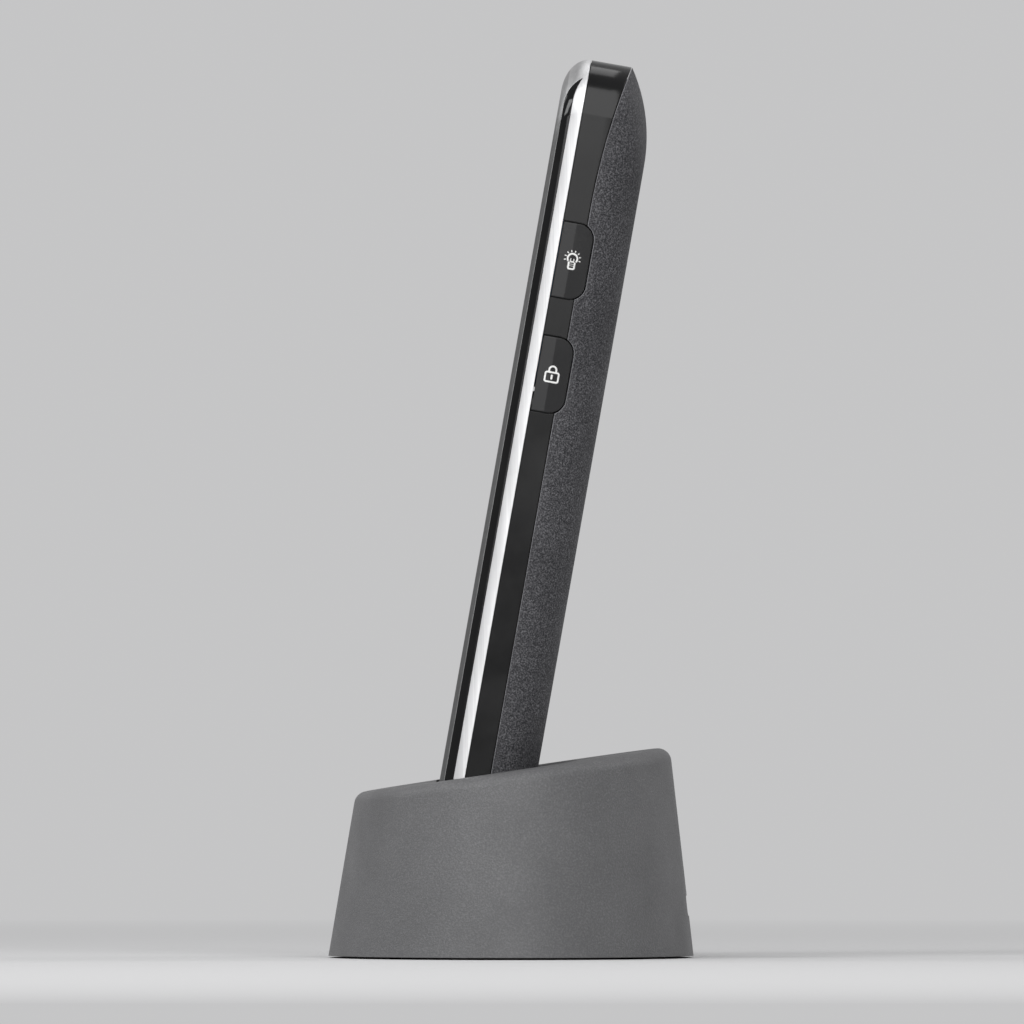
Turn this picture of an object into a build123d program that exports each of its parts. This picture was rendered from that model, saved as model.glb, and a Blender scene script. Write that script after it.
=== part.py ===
from build123d import *
import math
import os

# A candybar mobile phone standing in its desk charging cradle, in millimetres and degrees.
# The cradle stands on the floor with its footprint centred on the origin; the front faces -Y, +X is
# the user's right. Handset depths run from the seam behind the silver front frame towards the back,
# handset heights run from its bottom end along its own leaning axis.

# Handset form
LEAN = 10.0
HANDSET_LENGTH = 121.5
HANDSET_WIDTH = 53.0
OUTLINE_CORNER = 8.0
SEAM = 0.12
FIT = 0.12
OVERRUN = 2.0

# Front frame
FRAME_FLAT = 1.6
FRAME_SHOULDER = 1.98
FRAME_END_REACH = 5.0
FRAME_RIM = 0.55
FRAME_LEDGE = 0.6
SHOULDER_STEPS = 4

# Black bands let into the shoulders of the frame
BAND_LINE = 0.7
BAND_TIP_DEPTH = 0.7
BAND_TIP_DROP = 2.8
BAND_OUTER_DROP = 7.0
BAND_INNER_DROP = 6.5
BAND_THICKNESS = 1.1
BAND_END_THICKNESS = 1.8

# Chassis
CHASSIS_DEPTH = 3.6
CHASSIS_WALL = 2.0
WEB_THICKNESS = 0.8
FLARE_RADIUS = 100.0
FLARE_LENGTH = 22.0
GROOVE = 0.4
LIP_GAP = 0.15
LIP_ROOT = 0.6
LIP_HEIGHT = 0.8

# Rear cover and chin cap
COVER_DEPTH = 6.83
COVER_WALL = 1.2
COVER_SIDE_REACH = 8.0
COVER_FOOT_REACH = 8.0
BACK_ARC_RADIUS = 25.0
BACK_ARC_LENGTH = 14.0
COVER_STEPS = 6
CHIN_HEIGHT = 14.5
SOUND_SLOTS = 4
SOUND_SLOT_LENGTH = 10.0
SOUND_SLOT_WIDTH = 1.0
SOUND_SLOT_PITCH = 2.0

# Fascia, lens and display
FASCIA_RECESS = 0.6
FASCIA_THICKNESS = 1.2
FASCIA_FLANGE = 0.6
EARPIECE_ZONE = 6.8
LENS_MARGIN = 4.9
LENS_THICKNESS = 0.8
LENS_CORNER = 2.0
LENS_SIDE = 2.5
WINDOW_EDGE = 2.2
DISPLAY_SHIM = 0.05
EARPIECE_LENGTH = 10.0
EARPIECE_HEIGHT = 1.4
EARPIECE_OFFSET = 3.4
MESH_THICKNESS = 0.3
MESH_BORDER = 0.8
EARPIECE_DEPTH = 1.5
MICROPHONE_X = 10.0
MICROPHONE_RADIUS = 2.0
MICROPHONE_HOLE = 0.5

# Keypad
KEYPAD_BOTTOM = 17.5
KEY_HEIGHT = 6.8
KEY_CORNER = 1.6
KEY_SIDE_MARGIN = 1.35
KEY_COLUMN_GAP = 1.8
KEY_ROW_GAP = 1.7
CLUSTER_GAP = 0.8
KEY_PROUD = 0.5
KEY_EDGE = 0.3
KEY_CLEARANCE = 0.2
KEY_FLANGE = 0.5
KEY_LIP = 0.45
KEY_PLAY = 0.1
KEY_TRAVEL = 0.4
KEY_STEM_RADIUS = 1.2
KEY_ROOM = 0.08
KEY_BEVEL = 45.0
NAVIGATION_PLAY = 0.45
NAVIGATION_ROOM = 0.3
NAVIGATION_PIVOT_RADIUS = 0.4
DOME_RADIUS = 2.2
DOME_RISE = 0.2
DOME_SHEET = 0.25
DOME_TAPER = 60.0
DOME_SHEET_MARGIN = 1.2

# Main board and what it carries
BOARD_GAP = 0.3
BOARD_THICKNESS = 1.0
BOARD_BOTTOM = 6.0
BOARD_TOP_GAP = 5.3
BOARD_SIDE_GAP = 1.7
BOARD_CORNER = 3.0
SHIELD_HEIGHT = 1.2
SHIELD_WIDTH = 30.0
SHIELD_LENGTH = 22.0
SHIELD_CORNER = 1.0
SHIELD_CENTRES_SHARES = (0.33, 0.72)
SWITCH_WIDTH = 2.2
SWITCH_LENGTH = 3.6
SWITCH_HEIGHT = 1.25
SWITCH_PLUNGER = 0.2
SWITCH_PLUNGER_RADIUS = 0.5
SOCKET_WIDTH = 7.6
SOCKET_HEIGHT = 2.1
SOCKET_LENGTH = 5.2
SOCKET_WALL = 0.3
SOCKET_CORNER = 0.7
SOCKET_DEPTH = 1.55
LED_WIDTH = 3.0
LED_HEIGHT = 1.6
LED_GAP = 0.1
TORCH_LENS_RADIUS = 1.4
TORCH_LENS_LENGTH = 2.4
TORCH_DEPTH = 1.85

# Pieces behind the chassis web
BAY_GAP = 0.1
BATTERY_EDGE = 0.5
BATTERY_TOP_DROP = 23.5
BATTERY_GAP = 0.53
BATTERY_BOTTOM = 44.0
BATTERY_CORNER = 2.0
CONTACT_WIDTH = 10.0
CONTACT_LENGTH = 2.8
CONTACT_HEIGHT = 3.4
CONTACT_BLADES = 3
CONTACT_BLADE_WIDTH = 1.2
CONTACT_BLADE_PITCH = 3.0
CONTACT_BLADE_REACH = 0.6
SIM_WIDTH = 16.0
SIM_LENGTH = 14.0
SIM_HEIGHT = 1.4
SIM_BOTTOM = 23.0
SIM_WALL = 0.3
RINGER_WIDTH = 15.0
RINGER_LENGTH = 10.0
RINGER_HEIGHT = 3.2
RINGER_GAP = 2.0
MOTOR_RADIUS = 4.0
MOTOR_HEIGHT = 2.7
MOTOR_SIM_GAP = 3.5
MOTOR_Z = 30.0
ANTENNA_SIDE_GAP = 0.5
ANTENNA_LENGTH = 7.5
ANTENNA_RISE_SHARE = 0.53
ANTENNA_SHEET = 0.3
PAD_WIDTH = 3.6
PAD_HEIGHT = 1.6
PAD_THICKNESS = 0.5
PAD_RECESS = 0.05
SCREW_RADIUS = 0.8
SCREW_HEAD_RADIUS = 1.4
SCREW_HEAD = 0.8
SCREW_SLACK = 0.05
SCREW_EDGE = 3.0
BOSS_RADIUS = 1.5

# Keys on the sides
SIDE_KEY_LENGTH = 11.1
SIDE_KEY_FRONT = 0.2
SIDE_KEY_OVERLAP = 1.25
SIDE_KEY_CORNER = 2.2
SIDE_KEY_PROUD = 0.35
SIDE_KEY_CREASE = 1.9
SIDE_KEY_CREASE_RISE = 0.2
SIDE_KEY_BACK_DROP = 0.05
SIDE_KEY_CLEARANCE = 0.2
SIDE_KEY_FLANGE = 0.7
SIDE_KEY_LIP = 0.6
SIDE_KEY_PLAY = 0.2
SIDE_KEY_TRAVEL = 0.5
SIDE_KEY_ROOM = 0.1
TORCH_KEY_DROP = 29.8
LOCK_KEY_DROP = 46.85
ROCKER_LENGTH = 22.0
ROCKER_DROP = 38.3
ROCKER_PLAY = 0.55
ROCKER_PIVOT_RADIUS = 0.6
ROCKER_SWITCH_SHARE = 0.36

# Cradle
CRADLE_SIDE_MARGIN = 11.5
CRADLE_HALF_DEPTH = 27.05
CRADLE_FORM_HEIGHT = 36.0
FRONT_DRAFT = 9.6
BACK_DRAFT = 6.5
SIDE_DRAFT = 8.0
RIM_HEIGHT = 27.8
RIM_SLOPE = 8.4
RIM_ROUND = 2.0
CRADLE_WALL = 1.8
SEAT_FORWARD = 9.25
SEAT_HEIGHT = 13.1
SEAT_GAP = 0.3
POCKET_CLEARANCE = 0.45
POCKET_WALL = 2.0
LEAD_IN_DROP = 0.3
BASE_THICKNESS = 2.0
FOOT_RADIUS = 3.25
FOOT_HEIGHT = 1.0
FOOT_PROUD = 0.3
FOOT_X = 12.0
FOOT_EDGE = 7.55
WEIGHT_GAP = 0.1
WEIGHT_THICKNESS = 2.5
WEIGHT_SHARE = 0.66
CHARGE_BOARD_WIDTH = 32.0
CHARGE_BOARD_FRONT_SHARE = 0.52
CHARGE_BOARD_BACK_GAP = 3.25
CHARGE_BOARD_BOTTOM = 5.1
CHARGE_BOARD_THICKNESS = 1.2
POST_RADIUS = 2.0
POST_EDGE = 3.5
INLET_WIDTH = 7.8
INLET_HEIGHT = 2.8
INLET_LENGTH = 6.0
INLET_CORNER = 0.8
PIN_X = 8.5
PIN_DEPTH = 1.8
PIN_RADIUS = 0.75
PIN_TIP_GAP = 0.1
PIN_LENGTH = 4.2
BARREL_RADIUS = 1.3
BARREL_DROP = 0.4
BARREL_SLACK = 0.06
BARREL_BASE_GAP = 0.1
CRADLE_SCREW_INSET = 5.5
CRADLE_SCREW_ANGLE = 25.0
CRADLE_BOSS_RADIUS = 2.6
CRADLE_SCREW_RADIUS = 1.1
CRADLE_SCREW_HEAD_RADIUS = 2.0
CRADLE_SCREW_HEAD = 1.0
CRADLE_SCREW_LENGTH = 8.0

# Sizes worked out from those above
half_width = HANDSET_WIDTH / 2
frame_depth = FRAME_FLAT + FRAME_SHOULDER
fascia_front = FASCIA_RECESS - frame_depth
fascia_back = fascia_front + FASCIA_THICKNESS
opening_half = half_width - FRAME_SHOULDER - FRAME_RIM
opening_low = FRAME_END_REACH + FRAME_RIM
opening_high = HANDSET_LENGTH - opening_low
opening_corner = OUTLINE_CORNER - FRAME_SHOULDER - FRAME_RIM
fascia_half = opening_half - FIT
fascia_low = opening_low + FIT
fascia_high = opening_high - FIT
inner_half = half_width - CHASSIS_WALL
web_back = CHASSIS_DEPTH - BAY_GAP
web_front = web_back - WEB_THICKNESS
back_depth = CHASSIS_DEPTH + COVER_DEPTH
cover_low = CHIN_HEIGHT + SEAM
hinge_depth = back_depth - COVER_WALL / 2
hinge_height = cover_low + COVER_WALL / 2
board_back = BOARD_GAP + BOARD_THICKNESS
board_half = inner_half - BOARD_SIDE_GAP
board_top = HANDSET_LENGTH - BOARD_TOP_GAP
bay_front = web_back + BAY_GAP

key_pitch = (2 * fascia_half - 2 * KEY_SIDE_MARGIN) / 3
key_width = key_pitch - KEY_COLUMN_GAP
row_pitch = KEY_HEIGHT + KEY_ROW_GAP
first_row = KEYPAD_BOTTOM + KEY_HEIGHT / 2
call_row = first_row + 4 * row_pitch + CLUSTER_GAP
soft_row = call_row + row_pitch
cluster_top = soft_row + KEY_HEIGHT / 2
navigation_row = (call_row + soft_row) / 2
navigation_height = KEY_HEIGHT + row_pitch
key_crown = fascia_front - KEY_PROUD
dome_top = BOARD_GAP - DOME_SHEET - DOME_RISE

lens_low = cluster_top + LENS_MARGIN
lens_high = fascia_high - EARPIECE_ZONE
lens_half = fascia_half - LENS_SIDE
earpiece_height = fascia_high - EARPIECE_OFFSET
screw_x = fascia_half - SCREW_EDGE
screw_rows = (fascia_low + SCREW_EDGE, cluster_top + LENS_MARGIN / 2, fascia_high - SCREW_EDGE)
screw_places = [(side * screw_x, row) for row in screw_rows for side in (-1, 1)]
antenna_half = screw_x - SCREW_HEAD_RADIUS - ANTENNA_SIDE_GAP
antenna_rise = ANTENNA_RISE_SHARE * COVER_DEPTH
battery_half = half_width - COVER_SIDE_REACH - BATTERY_EDGE
battery_top = HANDSET_LENGTH - BATTERY_TOP_DROP
battery_thickness = COVER_DEPTH - COVER_WALL - BATTERY_GAP
motor_x = SIM_WIDTH / 2 + MOTOR_SIM_GAP + MOTOR_RADIUS
ringer_middle = battery_top + RINGER_GAP + RINGER_LENGTH / 2

side_key_back = CHASSIS_DEPTH + SIDE_KEY_OVERLAP
torch_key_height = HANDSET_LENGTH - TORCH_KEY_DROP
lock_key_height = HANDSET_LENGTH - LOCK_KEY_DROP
rocker_height = HANDSET_LENGTH - ROCKER_DROP

cradle_half_width = half_width + CRADLE_SIDE_MARGIN
base_top = FOOT_PROUD + BASE_THICKNESS
charge_board_top = CHARGE_BOARD_BOTTOM + CHARGE_BOARD_THICKNESS
charge_board_front = CHARGE_BOARD_FRONT_SHARE * CRADLE_HALF_DEPTH
charge_board_back = CRADLE_HALF_DEPTH - CRADLE_WALL - CHARGE_BOARD_BACK_GAP
lean_sine = math.sin(math.radians(LEAN))
lean_cosine = math.cos(math.radians(LEAN))
lead_in_start = CHIN_HEIGHT - LEAD_IN_DROP

# The handset's own plane: across, towards its back, and up along it from its bottom end
dock = Plane(
    origin=(0, -SEAT_FORWARD, SEAT_HEIGHT), x_dir=(1, 0, 0), z_dir=(0, lean_sine, lean_cosine)
)
rim_normal = Vector(0, 0, 1).rotate(Axis.X, RIM_SLOPE)
rim_plane = Plane(origin=(0, 0, RIM_HEIGHT), x_dir=(1, 0, 0), z_dir=rim_normal)


def face_plane(depth):
    """The plane at one depth of the handset, seen from its front: across and up."""
    return Plane(origin=dock.from_local_coords((0, depth, 0)), x_dir=dock.x_dir, z_dir=-dock.y_dir)


def side_plane(across):
    """The plane at one place across the handset: towards its back and up."""
    return Plane(origin=dock.from_local_coords((across, 0, 0)), x_dir=dock.y_dir, z_dir=dock.x_dir)


def level_plane(height):
    """The plane square to the handset's axis at one height: across and towards its back."""
    return dock.offset(height)


def panel(depth, half, low, high, corner, middle=0):
    """A rounded rectangle facing the front, from low to high."""
    with BuildSketch(face_plane(depth)) as sketch:
        with Locations((middle, (low + high) / 2)):
            RectangleRounded(2 * half, high - low, corner)
    return sketch.sketch


def block(depth, across, height, wide, tall):
    """A plain rectangle facing the front, round its centre."""
    with BuildSketch(face_plane(depth)) as sketch:
        with Locations((across, height)):
            Rectangle(wide, tall)
    return sketch.sketch


def discs(depth, places, radius):
    """Circles facing the front."""
    with BuildSketch(face_plane(depth)) as sketch:
        with Locations(*places):
            Circle(radius)
    return sketch.sketch


def round_off(share):
    """How far a quarter ellipse has come in, as a share of its reach, at a share of its depth."""
    return 1 - math.sqrt(1 - min(share, 1) ** 2)


def write(piece, name):
    """Label a finished piece and write it out under its own name."""
    piece.part.label = name
    export_step(piece.part, f"parts/{name}.step")


os.makedirs("parts", exist_ok=True)


# Front frame: a die-cast ring whose flat flank rolls over a shoulder to the front rim
def frame_section(depth):
    """The frame's outline at one depth in front of the seam."""
    side = FRAME_SHOULDER * round_off(max(depth - FRAME_FLAT, 0) / FRAME_SHOULDER)
    end = FRAME_END_REACH * round_off(depth / frame_depth)
    return panel(-depth, half_width - side, end, HANDSET_LENGTH - end, OUTLINE_CORNER - side)


shoulder_shares = [math.sin(math.radians(90 * i / SHOULDER_STEPS)) for i in range(1, SHOULDER_STEPS + 1)]
frame_depths = [0, FRAME_FLAT / 2, FRAME_FLAT] + [FRAME_FLAT + FRAME_SHOULDER * s for s in shoulder_shares]

with BuildPart() as frame_form:
    loft([frame_section(depth) for depth in frame_depths])

# Black bands: gloss strips let into both long shoulders, which curve to a point near each end
band_front = BAND_LINE - frame_depth
band_tip_high = (-BAND_TIP_DEPTH, HANDSET_LENGTH - BAND_TIP_DROP)
band_tip_low = (-BAND_TIP_DEPTH, BAND_TIP_DROP)
with BuildSketch(side_plane(0)) as band_profile:
    with BuildLine():
        Line((band_front, BAND_OUTER_DROP), (band_front, HANDSET_LENGTH - BAND_OUTER_DROP))
        TangentArc((band_front, HANDSET_LENGTH - BAND_OUTER_DROP), band_tip_high, tangent=(0, 1))
        TangentArc((-FRAME_FLAT, HANDSET_LENGTH - BAND_INNER_DROP), band_tip_high, tangent=(0, 1))
        Line((-FRAME_FLAT, HANDSET_LENGTH - BAND_INNER_DROP), (-FRAME_FLAT, BAND_INNER_DROP))
        TangentArc((-FRAME_FLAT, BAND_INNER_DROP), band_tip_low, tangent=(0, -1))
        TangentArc((band_front, BAND_OUTER_DROP), band_tip_low, tangent=(0, -1))
    make_face()

with BuildPart() as frame_bands:
    add(frame_form.part)
    extrude(band_profile.sketch, amount=half_width + OVERRUN, both=True, mode=Mode.INTERSECT)
    extrude(
        panel(
            OVERRUN,
            half_width - BAND_THICKNESS,
            BAND_END_THICKNESS,
            HANDSET_LENGTH - BAND_END_THICKNESS,
            OUTLINE_CORNER - BAND_THICKNESS,
        ),
        amount=frame_depth + 2 * OVERRUN,
        mode=Mode.SUBTRACT,
    )
write(frame_bands, "frame_bands")

with BuildPart() as front_frame:
    add(frame_form.part)
    extrude(
        panel(OVERRUN, opening_half, opening_low, opening_high, opening_corner),
        amount=frame_depth + 2 * OVERRUN,
        mode=Mode.SUBTRACT,
    )
    extrude(
        panel(
            0,
            opening_half + FRAME_LEDGE,
            opening_low - FRAME_LEDGE,
            opening_high + FRAME_LEDGE,
            opening_corner + FRAME_LEDGE,
        ),
        amount=-fascia_back,
        mode=Mode.SUBTRACT,
    )
    add(frame_bands.part, mode=Mode.SUBTRACT)
write(front_frame, "front_frame")

# Keys of the front: name, place across, height, width and height of the cap
number_rows = (
    ("key_star", "key_0", "key_hash"),
    ("key_7", "key_8", "key_9"),
    ("key_4", "key_5", "key_6"),
    ("key_1", "key_2", "key_3"),
)
press_keys = [
    (name, (column - 1) * key_pitch, first_row + row * row_pitch)
    for row, names in enumerate(number_rows)
    for column, name in enumerate(names)
]
press_keys += [
    ("call_key", -key_pitch, call_row),
    ("end_key", key_pitch, call_row),
    ("left_soft_key", -key_pitch, soft_row),
    ("right_soft_key", key_pitch, soft_row),
]
dome_places = [(across, height) for name, across, height in press_keys]
dome_places += [(0, navigation_row - row_pitch / 2), (0, navigation_row + row_pitch / 2)]


def key_outline(depth, across, height, tall, grow):
    """The outline of a front key, grown for a flange or a clearance."""
    return panel(
        depth,
        key_width / 2 + grow,
        height - tall / 2 - grow,
        height + tall / 2 + grow,
        KEY_CORNER + grow,
        across,
    )


# Fascia: the gloss panel inside the frame, with a flange behind the frame's ledge and screw bosses
with BuildPart() as fascia:
    extrude(
        panel(fascia_back, fascia_half, fascia_low, fascia_high, opening_corner - FIT),
        amount=FASCIA_THICKNESS,
    )
    extrude(
        panel(
            fascia_back + FASCIA_FLANGE,
            fascia_half + FRAME_LEDGE,
            fascia_low - FRAME_LEDGE,
            fascia_high + FRAME_LEDGE,
            opening_corner + FRAME_LEDGE - FIT,
        ),
        amount=FASCIA_FLANGE,
    )
    extrude(
        panel(
            fascia_back + FASCIA_FLANGE,
            fascia_half - FRAME_LEDGE,
            fascia_low + FRAME_LEDGE,
            fascia_high - FRAME_LEDGE,
            opening_corner - FRAME_LEDGE,
        ),
        amount=FASCIA_FLANGE,
        mode=Mode.SUBTRACT,
    )
    extrude(discs(BOARD_GAP, screw_places, BOSS_RADIUS), amount=BOARD_GAP - fascia_back)
    extrude(
        discs(BOARD_GAP, screw_places, SCREW_RADIUS + SCREW_SLACK),
        amount=BOARD_GAP - fascia_back,
        mode=Mode.SUBTRACT,
    )
    for name, across, height in press_keys:
        extrude(
            key_outline(fascia_back + OVERRUN, across, height, KEY_HEIGHT, KEY_CLEARANCE),
            amount=FASCIA_THICKNESS + 2 * OVERRUN,
            mode=Mode.SUBTRACT,
        )
    extrude(
        key_outline(fascia_back + OVERRUN, 0, navigation_row, navigation_height, KEY_CLEARANCE),
        amount=FASCIA_THICKNESS + 2 * OVERRUN,
        mode=Mode.SUBTRACT,
    )
    extrude(
        panel(fascia_front + LENS_THICKNESS, lens_half + FIT, lens_low - FIT, lens_high + FIT, LENS_CORNER),
        amount=LENS_THICKNESS + OVERRUN,
        mode=Mode.SUBTRACT,
    )
    extrude(
        panel(
            fascia_back,
            lens_half - WINDOW_EDGE,
            lens_low + WINDOW_EDGE,
            lens_high - WINDOW_EDGE,
            LENS_CORNER,
        ),
        amount=FASCIA_THICKNESS,
        mode=Mode.SUBTRACT,
    )
    extrude(
        panel(
            fascia_back,
            EARPIECE_LENGTH / 2,
            earpiece_height - EARPIECE_HEIGHT / 2,
            earpiece_height + EARPIECE_HEIGHT / 2,
            EARPIECE_HEIGHT / 2 - SEAM,
        ),
        amount=FASCIA_THICKNESS,
        mode=Mode.SUBTRACT,
    )
    extrude(
        discs(fascia_back, [(MICROPHONE_X, fascia_low + SCREW_EDGE)], MICROPHONE_HOLE),
        amount=FASCIA_THICKNESS,
        mode=Mode.SUBTRACT,
    )
write(fascia, "fascia")

# Display lens and the module behind its window
with BuildPart() as display_lens:
    extrude(
        panel(
            fascia_front + LENS_THICKNESS - DISPLAY_SHIM, lens_half, lens_low, lens_high, LENS_CORNER - FIT
        ),
        amount=LENS_THICKNESS - DISPLAY_SHIM,
    )
write(display_lens, "display_lens")

with BuildPart() as display_module:
    extrude(
        panel(BOARD_GAP - DISPLAY_SHIM, lens_half - FIT, lens_low + FIT, lens_high - FIT, LENS_CORNER),
        amount=BOARD_GAP - fascia_back - 2 * DISPLAY_SHIM,
    )
write(display_module, "display_module")

# Earpiece: a mesh behind the slot and the small speaker behind the mesh
mesh_back = fascia_back + DISPLAY_SHIM + MESH_THICKNESS
with BuildPart() as earpiece_mesh:
    extrude(
        block(
            mesh_back,
            0,
            earpiece_height,
            EARPIECE_LENGTH + 2 * MESH_BORDER,
            EARPIECE_HEIGHT + 2 * MESH_BORDER,
        ),
        amount=MESH_THICKNESS,
    )
write(earpiece_mesh, "earpiece_mesh")

with BuildPart() as earpiece_speaker:
    extrude(
        block(
            mesh_back + DISPLAY_SHIM + EARPIECE_DEPTH,
            0,
            earpiece_height,
            EARPIECE_LENGTH + 2 * MESH_BORDER,
            EARPIECE_HEIGHT + 2 * MESH_BORDER,
        ),
        amount=EARPIECE_DEPTH,
    )
write(earpiece_speaker, "earpiece_speaker")

with BuildPart() as microphone:
    extrude(
        discs(BOARD_GAP - DISPLAY_SHIM, [(MICROPHONE_X, fascia_low + SCREW_EDGE)], MICROPHONE_RADIUS),
        amount=BOARD_GAP - fascia_back - 2 * DISPLAY_SHIM,
    )
write(microphone, "microphone")

# Front keys: a bevelled cap through the fascia, a flange behind it and a stem over a dome
flange_front = fascia_back + KEY_PLAY
flange_back = flange_front + KEY_FLANGE
stem_back = dome_top - KEY_TRAVEL - KEY_ROOM
for name, across, height in press_keys:
    with BuildPart() as press_key:
        extrude(
            key_outline(flange_front, across, height, KEY_HEIGHT, 0),
            amount=flange_front - key_crown - KEY_EDGE,
        )
        extrude(
            key_outline(key_crown + KEY_EDGE, across, height, KEY_HEIGHT, 0),
            amount=KEY_EDGE,
            taper=KEY_BEVEL,
        )
        extrude(key_outline(flange_back, across, height, KEY_HEIGHT, KEY_LIP), amount=KEY_FLANGE)
        extrude(discs(stem_back, [(across, height)], KEY_STEM_RADIUS), amount=stem_back - flange_back)
    write(press_key, name)

# Navigation key: a tall rocker that tips up and down on a round rib across its back
navigation_front = fascia_back + NAVIGATION_PLAY
navigation_back = navigation_front + KEY_FLANGE
navigation_axis = (navigation_front + navigation_back) / 2
with BuildPart() as navigation_key:
    extrude(
        key_outline(navigation_front, 0, navigation_row, navigation_height, 0),
        amount=navigation_front - key_crown - KEY_EDGE,
    )
    extrude(
        key_outline(key_crown + KEY_EDGE, 0, navigation_row, navigation_height, 0),
        amount=KEY_EDGE,
        taper=KEY_BEVEL,
    )
    extrude(key_outline(navigation_back, 0, navigation_row, navigation_height, KEY_LIP), amount=KEY_FLANGE)
    extrude(
        discs(dome_top - NAVIGATION_ROOM, dome_places[-2:], KEY_STEM_RADIUS),
        amount=dome_top - NAVIGATION_ROOM - navigation_back,
    )
    with BuildSketch(side_plane(0)):
        with Locations((navigation_axis, navigation_row)):
            Circle(NAVIGATION_PIVOT_RADIUS)
    extrude(amount=key_width / 2, both=True)
write(navigation_key, "navigation_key")

# Dome sheet: the sprung switch sheet on the front of the board, one dome under each key
with BuildPart() as dome_sheet:
    extrude(
        panel(
            BOARD_GAP,
            key_pitch + key_width / 2 + DOME_SHEET_MARGIN,
            KEYPAD_BOTTOM - DOME_SHEET_MARGIN,
            cluster_top,
            KEY_CORNER,
        ),
        amount=DOME_SHEET,
    )
    extrude(discs(BOARD_GAP - DOME_SHEET, dome_places, DOME_RADIUS), amount=DOME_RISE, taper=DOME_TAPER)
write(dome_sheet, "dome_sheet")

# Main board with its shield cans and the four switches of the side keys
with BuildPart() as main_board:
    extrude(panel(board_back, board_half, BOARD_BOTTOM, board_top, BOARD_CORNER), amount=BOARD_THICKNESS)
    extrude(
        discs(board_back, screw_places, SCREW_RADIUS + 2 * SCREW_SLACK),
        amount=BOARD_THICKNESS,
        mode=Mode.SUBTRACT,
    )
write(main_board, "main_board")

with BuildPart() as shield_cans:
    for share in SHIELD_CENTRES_SHARES:
        middle = share * HANDSET_LENGTH
        extrude(
            panel(
                board_back + SHIELD_HEIGHT,
                SHIELD_WIDTH / 2,
                middle - SHIELD_LENGTH / 2,
                middle + SHIELD_LENGTH / 2,
                SHIELD_CORNER,
            ),
            amount=SHIELD_HEIGHT,
        )
write(shield_cans, "shield_cans")

plunger_tip = inner_half - SIDE_KEY_PLAY - SIDE_KEY_FLANGE - SIDE_KEY_TRAVEL - SIDE_KEY_ROOM
switch_face = plunger_tip - SWITCH_PLUNGER
switch_depth = board_back + SWITCH_HEIGHT / 2
rocker_switch_reach = ROCKER_SWITCH_SHARE * ROCKER_LENGTH
switch_places = [
    (1, torch_key_height),
    (1, lock_key_height),
    (-1, rocker_height - rocker_switch_reach),
    (-1, rocker_height + rocker_switch_reach),
]
with BuildPart() as side_switches:
    for side, height in switch_places:
        extrude(
            block(
                board_back + SWITCH_HEIGHT,
                side * (switch_face - SWITCH_WIDTH / 2),
                height,
                SWITCH_WIDTH,
                SWITCH_LENGTH,
            ),
            amount=SWITCH_HEIGHT,
        )
        with BuildSketch(side_plane(side * switch_face)):
            with Locations((switch_depth, height)):
                Circle(SWITCH_PLUNGER_RADIUS)
        extrude(amount=side * SWITCH_PLUNGER)
write(side_switches, "side_switches")

# Rear form shared by the chassis, the cover and the chin cap: straight flanks, then a pillowed back
def back_section(angle, wall):
    """The back's outline at one angle of its rounding, inside a wall where one is given."""
    come_in = 1 - math.cos(math.radians(angle))
    depth = CHASSIS_DEPTH + (COVER_DEPTH - wall) * math.sin(math.radians(angle))
    radius = BACK_ARC_RADIUS - wall
    across_arc = radius - (back_depth - wall - depth)
    top = HANDSET_LENGTH - BACK_ARC_LENGTH + math.sqrt(max(radius**2 - across_arc**2, 0))
    half = half_width - wall - (COVER_SIDE_REACH - wall) * come_in
    low = wall + (COVER_FOOT_REACH - wall) * come_in
    return panel(depth, half, low, min(top, HANDSET_LENGTH - wall), OUTLINE_CORNER - wall)


def back_lofts(wall):
    """The pillowed back in two lofts, which meet where its arc runs into the flat top end."""
    radius = BACK_ARC_RADIUS - wall
    fall = radius - math.sqrt(radius**2 - (BACK_ARC_LENGTH - wall) ** 2)
    tip = math.degrees(math.asin((COVER_DEPTH - wall - fall) / (COVER_DEPTH - wall)))
    loft([back_section(tip * i / 2, wall) for i in range(3)])
    loft([back_section(tip + (90 - tip) * i / COVER_STEPS, wall) for i in range(COVER_STEPS + 1)])


with BuildPart() as rear_form:
    extrude(
        panel(CHASSIS_DEPTH, half_width, 0, HANDSET_LENGTH, OUTLINE_CORNER), amount=CHASSIS_DEPTH - SEAM
    )
    back_lofts(0)

with BuildPart() as rear_hollow:
    back_lofts(COVER_WALL)


def parting_profile(gap, low):
    """The side view of all that lies behind the parting line, which flares back near the top."""
    start = CHASSIS_DEPTH + gap
    flare_low = HANDSET_LENGTH - FLARE_LENGTH
    sweep = math.degrees(math.asin((FLARE_LENGTH + OVERRUN) / FLARE_RADIUS))
    with BuildSketch(side_plane(0)) as profile:
        with BuildLine():
            Line((start, low), (start, flare_low))
            flare = JernArc((start, flare_low), (0, 1), FLARE_RADIUS, -sweep)
            end = flare @ 1
            behind = back_depth + OVERRUN
            Polyline(end, (behind, end.Y), (behind, low), (start, low))
        make_face()
    return profile.sketch


def side_key_outline(across, height, length, grow):
    """The D-shaped outline of a side key, square at the front and round at the back."""
    front = SIDE_KEY_FRONT - grow
    back = side_key_back + grow
    low = height - length / 2 - grow
    high = height + length / 2 + grow
    corner = SIDE_KEY_CORNER + grow
    with BuildSketch(side_plane(across)) as outline:
        with BuildLine():
            Line((back - corner, low), (front, low))
            Line((front, low), (front, high))
            Line((front, high), (back - corner, high))
            RadiusArc((back - corner, high), (back, high - corner), corner)
            Line((back, high - corner), (back, low + corner))
            RadiusArc((back, low + corner), (back - corner, low), corner)
        make_face()
    return outline.sketch


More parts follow.
